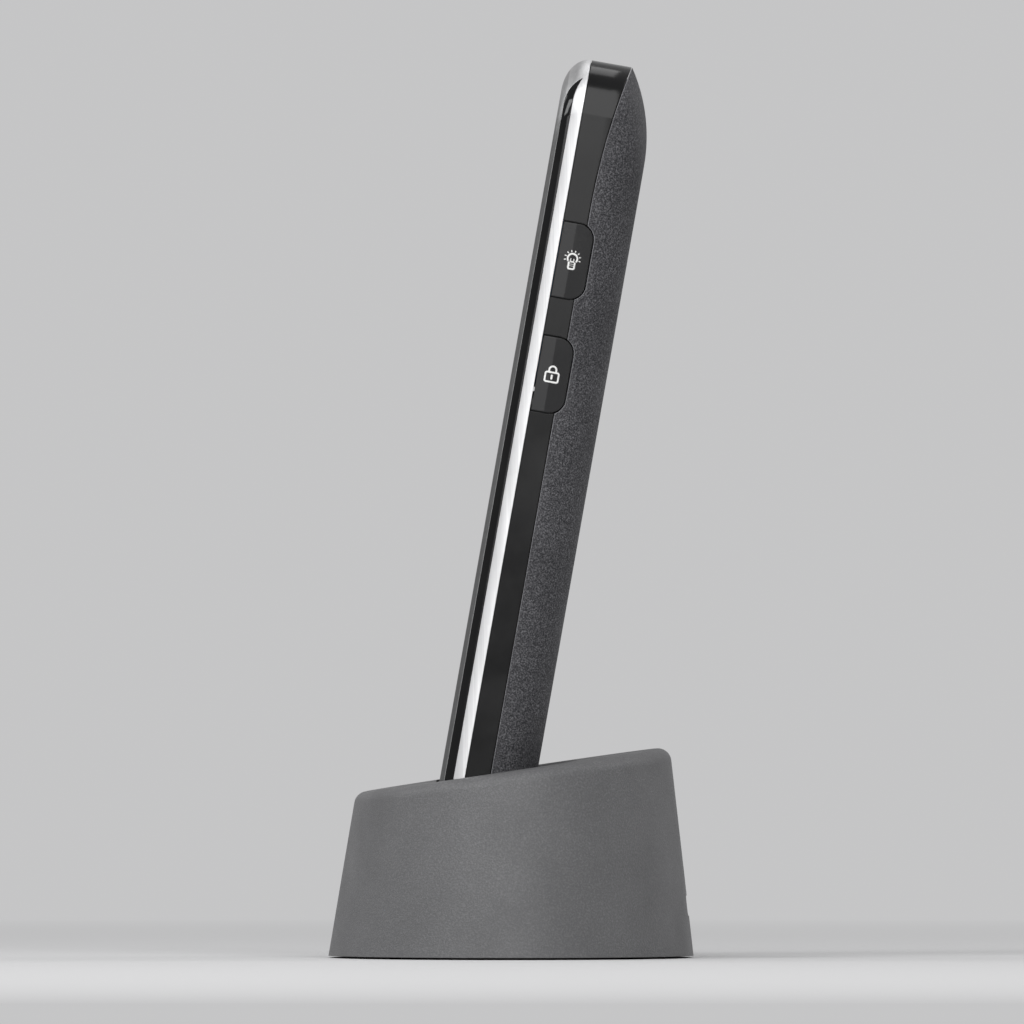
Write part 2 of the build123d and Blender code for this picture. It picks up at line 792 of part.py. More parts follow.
side_keys = [
    (1, torch_key_height, SIDE_KEY_LENGTH),
    (1, lock_key_height, SIDE_KEY_LENGTH),
    (-1, rocker_height, ROCKER_LENGTH),
]

# Lip of the chassis: a low wall round three sides that stands inside the rear cover's edge
with BuildPart() as lip_hollow:
    back_lofts(CHASSIS_WALL)

with BuildPart() as cover_lip:
    back_lofts(COVER_WALL + LIP_GAP)
    extrude(
        parting_profile(-LIP_ROOT, cover_low + LIP_GAP),
        amount=half_width + OVERRUN,
        both=True,
        mode=Mode.INTERSECT,
    )
    extrude(
        parting_profile(LIP_HEIGHT, -OVERRUN), amount=half_width + OVERRUN, both=True, mode=Mode.SUBTRACT
    )
    add(lip_hollow.part, mode=Mode.SUBTRACT)

# Chassis: the gloss mid frame, a tray whose web carries the board in front and the battery behind
with BuildPart() as chassis:
    add(rear_form.part)
    extrude(parting_profile(0, -OVERRUN), amount=half_width + OVERRUN, both=True, mode=Mode.SUBTRACT)
    extrude(
        panel(SEAM, half_width - GROOVE, GROOVE, HANDSET_LENGTH - GROOVE, OUTLINE_CORNER - GROOVE),
        amount=SEAM,
    )
    extrude(
        panel(
            web_front,
            inner_half,
            CHASSIS_WALL,
            HANDSET_LENGTH - CHASSIS_WALL,
            OUTLINE_CORNER - CHASSIS_WALL,
        ),
        amount=web_front,
        mode=Mode.SUBTRACT,
    )
    extrude(
        panel(
            back_depth,
            inner_half,
            CHASSIS_WALL,
            HANDSET_LENGTH - CHASSIS_WALL,
            OUTLINE_CORNER - CHASSIS_WALL,
        ),
        amount=back_depth - web_back,
        mode=Mode.SUBTRACT,
    )
    add(cover_lip.part)
    extrude(discs(web_front, screw_places, BOSS_RADIUS), amount=web_front - board_back)
    extrude(
        discs(web_back, screw_places, SCREW_RADIUS + SCREW_SLACK),
        amount=web_back - board_back,
        mode=Mode.SUBTRACT,
    )
    for side, height, length in side_keys:
        extrude(
            side_key_outline(side * inner_half, height, length, SIDE_KEY_CLEARANCE),
            amount=side * (CHASSIS_WALL + OVERRUN),
            mode=Mode.SUBTRACT,
        )
        with BuildSketch(side_plane(side * inner_half)):
            with Locations(((SEAM + side_key_back) / 2, height)):
                Rectangle(side_key_back - SEAM, length + 2 * SIDE_KEY_LIP + 2 * SIDE_KEY_CLEARANCE)
        extrude(amount=side * (board_half + SIDE_KEY_ROOM - inner_half), mode=Mode.SUBTRACT)
    with BuildSketch(level_plane(0)):
        with Locations((0, SOCKET_DEPTH)):
            RectangleRounded(SOCKET_WIDTH + 2 * FIT, SOCKET_HEIGHT + 2 * FIT, SOCKET_CORNER)
    extrude(amount=CHASSIS_WALL, mode=Mode.SUBTRACT)
    with BuildSketch(level_plane(0)):
        with Locations((-PIN_X, PIN_DEPTH), (PIN_X, PIN_DEPTH)):
            Rectangle(PAD_WIDTH + 2 * FIT, PAD_HEIGHT + 2 * FIT)
    extrude(amount=PAD_RECESS + PAD_THICKNESS, mode=Mode.SUBTRACT)
    with BuildSketch(level_plane(HANDSET_LENGTH)):
        with Locations((0, TORCH_DEPTH)):
            Circle(TORCH_LENS_RADIUS + SCREW_SLACK)
    extrude(amount=-PAD_RECESS - TORCH_LENS_LENGTH, mode=Mode.SUBTRACT)
write(chassis, "chassis")

# Rear cover: a thin soft-touch shell that swings about the round lower edge of its back
with BuildPart() as rear_cover:
    add(rear_form.part)
    extrude(parting_profile(SEAM, cover_low), amount=half_width + OVERRUN, both=True, mode=Mode.INTERSECT)
    add(rear_hollow.part, mode=Mode.SUBTRACT)
    with BuildSketch(side_plane(0)):
        with Locations((hinge_depth + OVERRUN / 2, hinge_height - OVERRUN / 2)):
            Rectangle(OVERRUN, OVERRUN)
        with Locations((hinge_depth, hinge_height)):
            Circle(COVER_WALL / 2, mode=Mode.SUBTRACT)
    extrude(amount=half_width + OVERRUN, both=True, mode=Mode.SUBTRACT)
    for side, height, length in side_keys:
        extrude(
            side_key_outline(side * (inner_half - COVER_WALL), height, length, SIDE_KEY_CLEARANCE),
            amount=side * (CHASSIS_WALL + COVER_WALL + OVERRUN),
            mode=Mode.SUBTRACT,
        )
    slot_rows = [ringer_middle + SOUND_SLOT_PITCH * (i - (SOUND_SLOTS - 1) / 2) for i in range(SOUND_SLOTS)]
    with BuildSketch(face_plane(back_depth + OVERRUN)):
        with Locations(*[(0, row) for row in slot_rows]):
            SlotOverall(SOUND_SLOT_LENGTH, SOUND_SLOT_WIDTH)
    extrude(amount=COVER_DEPTH / 2 + OVERRUN, mode=Mode.SUBTRACT)
write(rear_cover, "rear_cover")

# Chin cap: the fixed lower end of the back, over the antenna
with BuildPart() as chin_hollow:
    add(rear_hollow.part)
    split(bisect_by=level_plane(CHIN_HEIGHT - COVER_WALL), keep=Keep.BOTTOM)

with BuildPart() as chin_cap:
    add(rear_form.part)
    extrude(parting_profile(0, -OVERRUN), amount=half_width + OVERRUN, both=True, mode=Mode.INTERSECT)
    split(bisect_by=level_plane(CHIN_HEIGHT), keep=Keep.BOTTOM)
    add(chin_hollow.part, mode=Mode.SUBTRACT)
write(chin_cap, "chin_cap")

# Antenna: a bent sheet on two legs under the chin cap
with BuildPart() as antenna:
    antenna_top = CHASSIS_DEPTH + antenna_rise
    antenna_middle = COVER_FOOT_REACH / 2 + FIT + ANTENNA_LENGTH / 2
    extrude(
        block(antenna_top, 0, antenna_middle, 2 * antenna_half, ANTENNA_LENGTH),
        amount=antenna_rise - BAY_GAP,
    )
    extrude(
        block(
            antenna_top - ANTENNA_SHEET,
            0,
            antenna_middle,
            2 * (antenna_half - antenna_rise),
            ANTENNA_LENGTH + 2 * OVERRUN,
        ),
        amount=antenna_rise,
        mode=Mode.SUBTRACT,
    )
write(antenna, "antenna")

# Battery, its sprung contacts, the SIM holder, the ringer and the vibration motor, all on the web
with BuildPart() as battery:
    extrude(
        panel(
            bay_front + battery_thickness, battery_half, BATTERY_BOTTOM, battery_top, BATTERY_CORNER
        ),
        amount=battery_thickness,
    )
write(battery, "battery")

with BuildPart() as battery_contacts:
    contact_middle = BATTERY_BOTTOM - FIT - CONTACT_BLADE_REACH - CONTACT_LENGTH / 2
    extrude(
        block(bay_front + CONTACT_HEIGHT, 0, contact_middle, CONTACT_WIDTH, CONTACT_LENGTH),
        amount=CONTACT_HEIGHT,
    )
    with BuildSketch(face_plane(bay_front + CONTACT_HEIGHT)):
        with Locations((0, contact_middle + CONTACT_LENGTH / 2 + CONTACT_BLADE_REACH / 2)):
            with GridLocations(CONTACT_BLADE_PITCH, CONTACT_BLADE_REACH, CONTACT_BLADES, 1):
                Rectangle(CONTACT_BLADE_WIDTH, CONTACT_BLADE_REACH)
    extrude(amount=CONTACT_HEIGHT / 2)
write(battery_contacts, "battery_contacts")

with BuildPart() as sim_holder:
    sim_middle = SIM_BOTTOM + SIM_LENGTH / 2
    extrude(block(bay_front + SIM_HEIGHT, 0, sim_middle, SIM_WIDTH, SIM_LENGTH), amount=SIM_HEIGHT)
    extrude(
        block(
            bay_front + SIM_HEIGHT - SIM_WALL,
            0,
            sim_middle + SIM_WALL,
            SIM_WIDTH - 2 * SIM_WALL,
            SIM_LENGTH,
        ),
        amount=SIM_HEIGHT - 2 * SIM_WALL,
        mode=Mode.SUBTRACT,
    )
write(sim_holder, "sim_holder")

with BuildPart() as ringer_speaker:
    extrude(
        block(bay_front + RINGER_HEIGHT, 0, ringer_middle, RINGER_WIDTH, RINGER_LENGTH),
        amount=RINGER_HEIGHT,
    )
write(ringer_speaker, "ringer_speaker")

with BuildPart() as vibration_motor:
    extrude(discs(bay_front + MOTOR_HEIGHT, [(motor_x, MOTOR_Z)], MOTOR_RADIUS), amount=MOTOR_HEIGHT)
write(vibration_motor, "vibration_motor")

with BuildPart() as chassis_screws:
    extrude(discs(web_back + SCREW_HEAD, screw_places, SCREW_HEAD_RADIUS), amount=SCREW_HEAD)
    extrude(discs(web_back, screw_places, SCREW_RADIUS), amount=web_back - fascia_back - FASCIA_FLANGE)
write(chassis_screws, "chassis_screws")

# Handset socket, charge pads and the torch at the two ends of the chassis
with BuildPart() as handset_socket:
    with BuildSketch(level_plane(PAD_RECESS)):
        with Locations((0, SOCKET_DEPTH)):
            RectangleRounded(SOCKET_WIDTH, SOCKET_HEIGHT, SOCKET_CORNER)
    extrude(amount=SOCKET_LENGTH)
    with BuildSketch(level_plane(PAD_RECESS)):
        with Locations((0, SOCKET_DEPTH)):
            RectangleRounded(
                SOCKET_WIDTH - 2 * SOCKET_WALL, SOCKET_HEIGHT - 2 * SOCKET_WALL, SOCKET_CORNER - SOCKET_WALL
            )
    extrude(amount=SOCKET_LENGTH - SOCKET_WALL, mode=Mode.SUBTRACT)
write(handset_socket, "handset_socket")

with BuildPart() as charge_pads:
    with BuildSketch(level_plane(PAD_RECESS)):
        with Locations((-PIN_X, PIN_DEPTH), (PIN_X, PIN_DEPTH)):
            Rectangle(PAD_WIDTH, PAD_HEIGHT)
    extrude(amount=PAD_THICKNESS)
write(charge_pads, "charge_pads")

with BuildPart() as torch_lens:
    with BuildSketch(level_plane(HANDSET_LENGTH - PAD_RECESS)):
        with Locations((0, TORCH_DEPTH)):
            Circle(TORCH_LENS_RADIUS)
    extrude(amount=-TORCH_LENS_LENGTH)
write(torch_lens, "torch_lens")

with BuildPart() as torch_led:
    with BuildSketch(level_plane(HANDSET_LENGTH - PAD_RECESS - TORCH_LENS_LENGTH - LED_GAP)):
        with Locations((0, TORCH_DEPTH)):
            Rectangle(LED_WIDTH, LED_HEIGHT)
    extrude(amount=TORCH_LENS_LENGTH + 2 * LED_GAP + PAD_RECESS - BOARD_TOP_GAP)
write(torch_led, "torch_led")


# Side keys: two facets with a crease along the key, a stem through the wall and a flange inside it
def side_key(side, height, length, play):
    """One side key, with the play between its flange and the chassis wall."""
    flange_face = inner_half - play
    crease = SIDE_KEY_FRONT + SIDE_KEY_CREASE
    outer = half_width + SIDE_KEY_PROUD
    with BuildPart() as key:
        with BuildSketch(level_plane(height - length / 2)):
            with BuildLine():
                Polyline(
                    (side * flange_face, SIDE_KEY_FRONT),
                    (side * outer, SIDE_KEY_FRONT),
                    (side * (outer + SIDE_KEY_CREASE_RISE), crease),
                    (side * (half_width - SIDE_KEY_BACK_DROP), side_key_back),
                    (side * flange_face, side_key_back),
                    close=True,
                )
            make_face()
        extrude(amount=length)
        extrude(
            side_key_outline(0, height, length, 0),
            amount=side * (half_width + OVERRUN),
            mode=Mode.INTERSECT,
        )
        with BuildSketch(side_plane(side * flange_face)):
            with Locations(((SIDE_KEY_FRONT + web_back) / 2, height)):
                Rectangle(web_back - SIDE_KEY_FRONT, length + 2 * SIDE_KEY_LIP)
        extrude(amount=-side * SIDE_KEY_FLANGE)
    return key


torch_key = side_key(1, torch_key_height, SIDE_KEY_LENGTH, SIDE_KEY_PLAY)
write(torch_key, "torch_key")
lock_key = side_key(1, lock_key_height, SIDE_KEY_LENGTH, SIDE_KEY_PLAY)
write(lock_key, "lock_key")

# Volume rocker on the left side, which tips about a round rib behind its middle
rocker_axis = inner_half - ROCKER_PLAY - SIDE_KEY_FLANGE + ROCKER_PIVOT_RADIUS / 2
with BuildPart() as volume_rocker:
    add(side_key(-1, rocker_height, ROCKER_LENGTH, ROCKER_PLAY).part)
    with BuildSketch(face_plane(web_front - SIDE_KEY_ROOM)):
        with Locations((-rocker_axis, rocker_height)):
            Circle(ROCKER_PIVOT_RADIUS)
    extrude(amount=web_front - SIDE_KEY_ROOM - SIDE_KEY_FRONT)
write(volume_rocker, "volume_rocker")


# Cradle form: an oval drafted body cut off by the sloping rim
def cradle_oval(height, inset):
    """The cradle's oval at one height, inside its drafted wall where an inset is given."""
    rise = height - FOOT_PROUD
    across = cradle_half_width - inset - rise * math.tan(math.radians(SIDE_DRAFT))
    front = CRADLE_HALF_DEPTH - inset - rise * math.tan(math.radians(FRONT_DRAFT))
    back = CRADLE_HALF_DEPTH - inset - rise * math.tan(math.radians(BACK_DRAFT))
    with BuildSketch(Plane.XY.offset(height)) as oval:
        with Locations((0, (back - front) / 2)):
            Ellipse(across, (back + front) / 2)
    return oval.sketch


with BuildPart() as cradle_form:
    loft([cradle_oval(FOOT_PROUD, 0), cradle_oval(CRADLE_FORM_HEIGHT, 0)], ruled=True)
    split(bisect_by=rim_plane, keep=Keep.BOTTOM)
    fillet(faces().sort_by(Axis.Z)[-1].edges(), RIM_ROUND)


def pocket_section(height, grow):
    """The handset's cross-section, grown for the pocket and its wall."""
    side = half_width + grow
    shoulder = FRAME_SHOULDER + grow
    shoulder_start = half_width - FRAME_SHOULDER
    pillow_start = half_width - COVER_SIDE_REACH
    with BuildSketch(level_plane(height)) as section:
        with BuildLine():
            Line((0, -frame_depth - grow), (shoulder_start, -frame_depth - grow))
            EllipticalCenterArc((shoulder_start, -FRAME_FLAT), shoulder, shoulder, 270, arc_size=90)
            Line((side, -FRAME_FLAT), (side, CHASSIS_DEPTH))
            EllipticalCenterArc(
                (pillow_start, CHASSIS_DEPTH), COVER_SIDE_REACH + grow, COVER_DEPTH + grow, 0, arc_size=90
            )
            Line((pillow_start, back_depth + grow), (0, back_depth + grow))
            mirror(about=Plane.YZ)
        make_face()
    return section.sketch


pocket_height = RIM_HEIGHT + CRADLE_HALF_DEPTH
cradle_screw_x = (cradle_half_width - CRADLE_SCREW_INSET) * math.cos(math.radians(CRADLE_SCREW_ANGLE))
cradle_screw_y = (CRADLE_HALF_DEPTH - CRADLE_SCREW_INSET) * math.sin(math.radians(CRADLE_SCREW_ANGLE))
cradle_screw_places = [(x * cradle_screw_x, y * cradle_screw_y) for x in (-1, 1) for y in (-1, 1)]
with BuildPart() as cradle_hollow:
    loft([cradle_oval(FOOT_PROUD, CRADLE_WALL), cradle_oval(CRADLE_FORM_HEIGHT, CRADLE_WALL)], ruled=True)
    split(bisect_by=rim_plane.offset(-CRADLE_WALL), keep=Keep.BOTTOM)
    extrude(
        pocket_section(-SEAT_GAP - POCKET_WALL, POCKET_CLEARANCE + POCKET_WALL),
        amount=pocket_height,
        mode=Mode.SUBTRACT,
    )
    with BuildSketch(Plane.XY.offset(base_top)):
        with Locations(*cradle_screw_places):
            Circle(CRADLE_BOSS_RADIUS)
    extrude(amount=CRADLE_FORM_HEIGHT, mode=Mode.SUBTRACT)

inlet_middle = charge_board_top + INLET_HEIGHT / 2
inlet_back = CRADLE_HALF_DEPTH - CRADLE_WALL

# Cradle shell: the matt outer body with the leaning pocket, its lead-in at the back and screw bosses
with BuildPart() as cradle_shell:
    add(cradle_form.part)
    add(cradle_hollow.part, mode=Mode.SUBTRACT)
    with BuildSketch(Plane.XZ.offset(-CRADLE_HALF_DEPTH)):
        with Locations((0, inlet_middle)):
            RectangleRounded(INLET_WIDTH + 2 * FIT, INLET_HEIGHT + 2 * FIT, INLET_CORNER + FIT)
    extrude(amount=2 * CRADLE_WALL, mode=Mode.SUBTRACT)
    with BuildSketch(Plane.XY.offset(base_top)):
        with Locations(*cradle_screw_places):
            Circle(CRADLE_SCREW_RADIUS + SCREW_SLACK)
    extrude(amount=CRADLE_SCREW_LENGTH, mode=Mode.SUBTRACT)
    extrude(pocket_section(-SEAT_GAP, POCKET_CLEARANCE), amount=pocket_height, mode=Mode.SUBTRACT)
    extrude(
        pocket_section(lead_in_start, POCKET_CLEARANCE),
        amount=pocket_height,
        dir=dock.y_dir + dock.z_dir,
        mode=Mode.SUBTRACT,
    )
    with BuildSketch(level_plane(-SEAT_GAP)):
        with Locations((-PIN_X, PIN_DEPTH), (PIN_X, PIN_DEPTH)):
            Circle(BARREL_RADIUS + BARREL_SLACK)
    extrude(amount=-POCKET_WALL - OVERRUN, mode=Mode.SUBTRACT)
write(cradle_shell, "cradle_shell")

# Cradle base plate with foot recesses, board posts and countersunk screw holes
charge_posts = [
    (x * (CHARGE_BOARD_WIDTH / 2 - POST_EDGE), y)
    for x in (-1, 1)
    for y in (POST_EDGE - charge_board_front, charge_board_back - POST_EDGE - INLET_LENGTH)
]
foot_places = [(x * FOOT_X, y * (CRADLE_HALF_DEPTH - FOOT_EDGE)) for x in (-1, 1) for y in (-1, 1)]
with BuildPart() as cradle_base:
    extrude(cradle_oval(base_top, CRADLE_WALL + FIT), amount=-BASE_THICKNESS)
    with BuildSketch(Plane.XY.offset(base_top)):
        with Locations(*charge_posts):
            Circle(POST_RADIUS)
    extrude(amount=CHARGE_BOARD_BOTTOM - base_top)
    with BuildSketch(Plane.XY.offset(FOOT_PROUD)):
        with Locations(*foot_places):
            Circle(FOOT_RADIUS + SCREW_SLACK)
    extrude(amount=FOOT_HEIGHT - FOOT_PROUD, mode=Mode.SUBTRACT)
    with BuildSketch(Plane.XY.offset(FOOT_PROUD)):
        with Locations(*cradle_screw_places):
            Circle(CRADLE_SCREW_HEAD_RADIUS + FIT)
    extrude(amount=CRADLE_SCREW_HEAD, mode=Mode.SUBTRACT)
    with BuildSketch(Plane.XY.offset(FOOT_PROUD)):
        with Locations(*cradle_screw_places):
            Circle(CRADLE_SCREW_RADIUS + SCREW_SLACK)
    extrude(amount=BASE_THICKNESS, mode=Mode.SUBTRACT)
write(cradle_base, "cradle_base")

with BuildPart() as cradle_feet:
    with BuildSketch():
        with Locations(*foot_places):
            Circle(FOOT_RADIUS)
    extrude(amount=FOOT_HEIGHT)
write(cradle_feet, "cradle_feet")

with BuildPart() as cradle_screws:
    with BuildSketch(Plane.XY.offset(FOOT_PROUD + CRADLE_SCREW_HEAD)):
        with Locations(*cradle_screw_places):
            Circle(CRADLE_SCREW_HEAD_RADIUS)
    extrude(amount=-CRADLE_SCREW_HEAD / 2)
    with BuildSketch(Plane.XY.offset(FOOT_PROUD + CRADLE_SCREW_HEAD)):
        with Locations(*cradle_screw_places):
            Circle(CRADLE_SCREW_RADIUS)
    extrude(amount=CRADLE_SCREW_LENGTH)
write(cradle_screws, "cradle_screws")

# Steel weight on the base, the charge board on its posts and the power inlet at the board's back edge
with BuildPart() as cradle_weight:
    with BuildSketch(Plane.XY.offset(base_top + WEIGHT_GAP)):
        Ellipse(WEIGHT_SHARE * cradle_half_width, WEIGHT_SHARE * CRADLE_HALF_DEPTH)
        with Locations(*charge_posts):
            Circle(POST_RADIUS + POCKET_CLEARANCE, mode=Mode.SUBTRACT)
    extrude(amount=WEIGHT_THICKNESS)
write(cradle_weight, "cradle_weight")

with BuildPart() as cradle_board:
    with BuildSketch(Plane.XY.offset(CHARGE_BOARD_BOTTOM)):
        with Locations((0, (charge_board_back - charge_board_front) / 2)):
            Rectangle(CHARGE_BOARD_WIDTH, charge_board_back + charge_board_front)
    extrude(amount=CHARGE_BOARD_THICKNESS)
write(cradle_board, "cradle_board")

with BuildPart() as cradle_inlet:
    with BuildSketch(Plane.XZ.offset(-inlet_back)):
        with Locations((0, inlet_middle)):
            RectangleRounded(INLET_WIDTH, INLET_HEIGHT, INLET_CORNER)
    extrude(amount=INLET_LENGTH)
    with BuildSketch(Plane.XZ.offset(-inlet_back)):
        with Locations((0, inlet_middle)):
            RectangleRounded(
                INLET_WIDTH - 2 * SOCKET_WALL,
                INLET_HEIGHT - 2 * SOCKET_WALL,
                INLET_CORNER - SOCKET_WALL,
            )
    extrude(amount=INLET_LENGTH - SOCKET_WALL, mode=Mode.SUBTRACT)
write(cradle_inlet, "cradle_inlet")

# Charge contacts: sprung pins along the handset's axis in barrels that stand on the charge board
barrel_end = (
    SEAT_HEIGHT - (PIN_DEPTH + BARREL_RADIUS) * lean_sine - charge_board_top - BARREL_BASE_GAP
) / lean_cosine
with BuildPart() as pin_barrels:
    with BuildSketch(level_plane(-SEAT_GAP - BARREL_DROP)):
        with Locations((-PIN_X, PIN_DEPTH), (PIN_X, PIN_DEPTH)):
            Circle(BARREL_RADIUS)
    extrude(amount=SEAT_GAP + BARREL_DROP - barrel_end)
    with BuildSketch(level_plane(-SEAT_GAP - BARREL_DROP)):
        with Locations((-PIN_X, PIN_DEPTH), (PIN_X, PIN_DEPTH)):
            Circle(PIN_RADIUS + BARREL_SLACK)
    extrude(amount=SEAT_GAP + BARREL_DROP + SOCKET_WALL - barrel_end, mode=Mode.SUBTRACT)
write(pin_barrels, "pin_barrels")

for name, side in (("charge_pin_left", -1), ("charge_pin_right", 1)):
    with BuildPart() as charge_pin:
        with BuildSketch(level_plane(-PIN_TIP_GAP)):
            with Locations((side * PIN_X, PIN_DEPTH)):
                Circle(PIN_RADIUS)
        extrude(amount=-PIN_LENGTH)
        fillet(edges().group_by(Axis(dock.origin, dock.z_dir))[-1], PIN_RADIUS / 2)
    write(charge_pin, name)
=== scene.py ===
import math

import bmesh
import bpy
from mathutils import Matrix, Vector


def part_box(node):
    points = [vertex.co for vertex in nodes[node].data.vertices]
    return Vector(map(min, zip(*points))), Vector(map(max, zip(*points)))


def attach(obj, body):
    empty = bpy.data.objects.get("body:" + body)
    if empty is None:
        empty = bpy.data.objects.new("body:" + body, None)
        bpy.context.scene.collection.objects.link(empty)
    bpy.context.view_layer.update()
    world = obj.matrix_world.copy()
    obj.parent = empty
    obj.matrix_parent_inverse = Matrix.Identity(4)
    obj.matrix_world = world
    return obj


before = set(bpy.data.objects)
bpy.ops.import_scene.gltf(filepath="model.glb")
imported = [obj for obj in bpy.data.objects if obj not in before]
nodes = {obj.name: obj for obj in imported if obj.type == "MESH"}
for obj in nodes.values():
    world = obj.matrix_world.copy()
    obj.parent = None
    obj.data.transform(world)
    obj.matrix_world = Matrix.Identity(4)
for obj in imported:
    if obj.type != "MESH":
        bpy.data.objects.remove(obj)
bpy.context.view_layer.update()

# Cradle shell and base: one oval moulding in dark grey ABS with a fine spark-eroded grain, closed from
#  below by a flat plate of the same plastic. Both come out of the mould matt, with a painted highlight
#  lightening their edges.
MM = 0.001
MIX_COLOUR_A = 6
MIX_COLOUR_B = 7
MIX_COLOUR_RESULT = 2
WHOLE = (0.0, 1.0)


def make_group(name, inputs, outputs):
    """A shader node group with its sockets, and its input and output nodes."""
    group = bpy.data.node_groups.new(name, "ShaderNodeTree")
    for label, value in inputs:
        socket = group.interface.new_socket(label, in_out="INPUT", socket_type="NodeSocketFloat")
        socket.default_value = value
    for label, kind in outputs:
        group.interface.new_socket(label, in_out="OUTPUT", socket_type=kind)
    return group, group.nodes.new("NodeGroupInput"), group.nodes.new("NodeGroupOutput")


def add_node(tree, kind, **sockets):
    """A node with the values of its sockets."""
    node = tree.nodes.new(kind)
    for label, value in sockets.items():
        node.inputs[label.replace("_", " ")].default_value = value
    return node


def remap(tree, source, span, result=WHOLE):
    """A value carried from one range to another, held at its ends."""
    node = add_node(
        tree, "ShaderNodeMapRange",
        From_Min=span[0], From_Max=span[1], To_Min=result[0], To_Max=result[1],
    )
    tree.links.new(source, node.inputs["Value"])
    return node.outputs["Result"]


def part_of(tree, mask, share):
    """A mask weakened to a share of its strength."""
    return remap(tree, mask, WHOLE, (0.0, share))


def arithmetic(tree, operation, first, second):
    """One sum of two values, each a socket or a number."""
    node = tree.nodes.new("ShaderNodeMath")
    node.operation = operation
    for place, value in enumerate((first, second)):
        if isinstance(value, (int, float)):
            node.inputs[place].default_value = value
        else:
            tree.links.new(value, node.inputs[place])
    return node.outputs[0]


def blend_colours(tree, mask, dark, light):
    """Two colours mixed by a mask; each is a socket or a colour."""
    node = tree.nodes.new("ShaderNodeMix")
    node.data_type = "RGBA"
    tree.links.new(mask, node.inputs["Factor"])
    for place, value in ((MIX_COLOUR_A, dark), (MIX_COLOUR_B, light)):
        if isinstance(value, tuple):
            node.inputs[place].default_value = (*value, 1)
        else:
            tree.links.new(value, node.inputs[place])
    return node.outputs[MIX_COLOUR_RESULT]


# The grain of a moulded surface: fine specks, their height, and a slow cloudiness from flow in the mould
FINE_SPAN = (0.38, 0.66)
PIT_SPAN = (0.1, 0.7)
CLOUD_SPAN = (0.3, 0.7)
grain, grain_in, grain_out = make_group(
    "moulded_grain",
    (("Grain Scale", 4000.0), ("Cloud Scale", 90.0)),
    (("Speck", "NodeSocketFloat"), ("Height", "NodeSocketFloat"), ("Cloud", "NodeSocketFloat")),
)
grain_place = grain.nodes.new("ShaderNodeTexCoord")
grain_noise = add_node(grain, "ShaderNodeTexNoise", Detail=3.0, Roughness=0.62)
grain_cells = grain.nodes.new("ShaderNodeTexVoronoi")
grain_cloud = add_node(grain, "ShaderNodeTexNoise", Detail=2.0, Roughness=0.5)
for texture, scale in (
    (grain_noise, "Grain Scale"), (grain_cells, "Grain Scale"), (grain_cloud, "Cloud Scale"),
):
    grain.links.new(grain_place.outputs["Object"], texture.inputs["Vector"])
    grain.links.new(grain_in.outputs[scale], texture.inputs["Scale"])
grain_fine = remap(grain, grain_noise.outputs["Fac"], FINE_SPAN)
grain_pits = remap(grain, grain_cells.outputs["Distance"], PIT_SPAN)
grain.links.new(arithmetic(grain, "MULTIPLY", grain_fine, grain_pits), grain_out.inputs["Speck"])
grain.links.new(arithmetic(grain, "ADD", grain_fine, grain_pits), grain_out.inputs["Height"])
grain.links.new(remap(grain, grain_cloud.outputs["Fac"], CLOUD_SPAN), grain_out.inputs["Cloud"])

# The edges of a moulded piece: rounded by the tool's radius, and a mask of them for a painted highlight
EDGE_SPAN = (0.97, 0.8)
EDGE_SAMPLES = 6
edges, edges_in, edges_out = make_group(
    "rounded_highlit_edge",
    (("Radius", 0.2 * MM),),
    (("Edge", "NodeSocketFloat"), ("Normal", "NodeSocketVector")),
)
edges_round = edges.nodes.new("ShaderNodeBevel")
edges_round.samples = EDGE_SAMPLES
edges_face = edges.nodes.new("ShaderNodeNewGeometry")
edges_turn = edges.nodes.new("ShaderNodeVectorMath")
edges_turn.operation = "DOT_PRODUCT"
edges.links.new(edges_in.outputs["Radius"], edges_round.inputs["Radius"])
edges.links.new(edges_round.outputs["Normal"], edges_turn.inputs[0])
edges.links.new(edges_face.outputs["True Normal"], edges_turn.inputs[1])
edges.links.new(edges_round.outputs["Normal"], edges_out.inputs["Normal"])
edges.links.new(remap(edges, edges_turn.outputs["Value"], EDGE_SPAN), edges_out.inputs["Edge"])


def start_material(name, roughness, metallic=0.0):
    """A material, its tree and its Principled shader."""
    material = bpy.data.materials.new(name)
    material.use_nodes = True
    shader = material.node_tree.nodes["Principled BSDF"]
    shader.inputs["Roughness"].default_value = roughness
    shader.inputs["Metallic"].default_value = metallic
    return material, material.node_tree, shader


def place_group(tree, group, **sockets):
    """A node group in a material, with its own values."""
    node = tree.nodes.new("ShaderNodeGroup")
    node.node_tree = group
    for label, value in sockets.items():
        node.inputs[label.replace("_", " ")].default_value = value
    return node.outputs


def uneven_gloss(tree, shader, roughness, mask, extra):
    """A roughness that a mask raises in places."""
    raised = arithmetic(tree, "MULTIPLY", mask, extra)
    tree.links.new(arithmetic(tree, "ADD", raised, roughness), shader.inputs["Roughness"])


def relief(tree, shader, height, distance, strength, normal=None):
    """A bump under the shader, on top of a rounded normal where one is given."""
    bump = add_node(tree, "ShaderNodeBump", Strength=strength, Distance=distance)
    tree.links.new(height, bump.inputs["Height"])
    if normal is not None:
        tree.links.new(normal, bump.inputs["Normal"])
    tree.links.new(bump.outputs["Normal"], shader.inputs["Normal"])


CLOUD_SHARE = 0.25
CLOUD_TONE_SHARE = 0.6
MOULDED_HIGHLIGHT_GAIN = 1.6
MOULDED_HIGHLIGHT_LIFT = 0.02
GRAIN_STRENGTH = 0.6


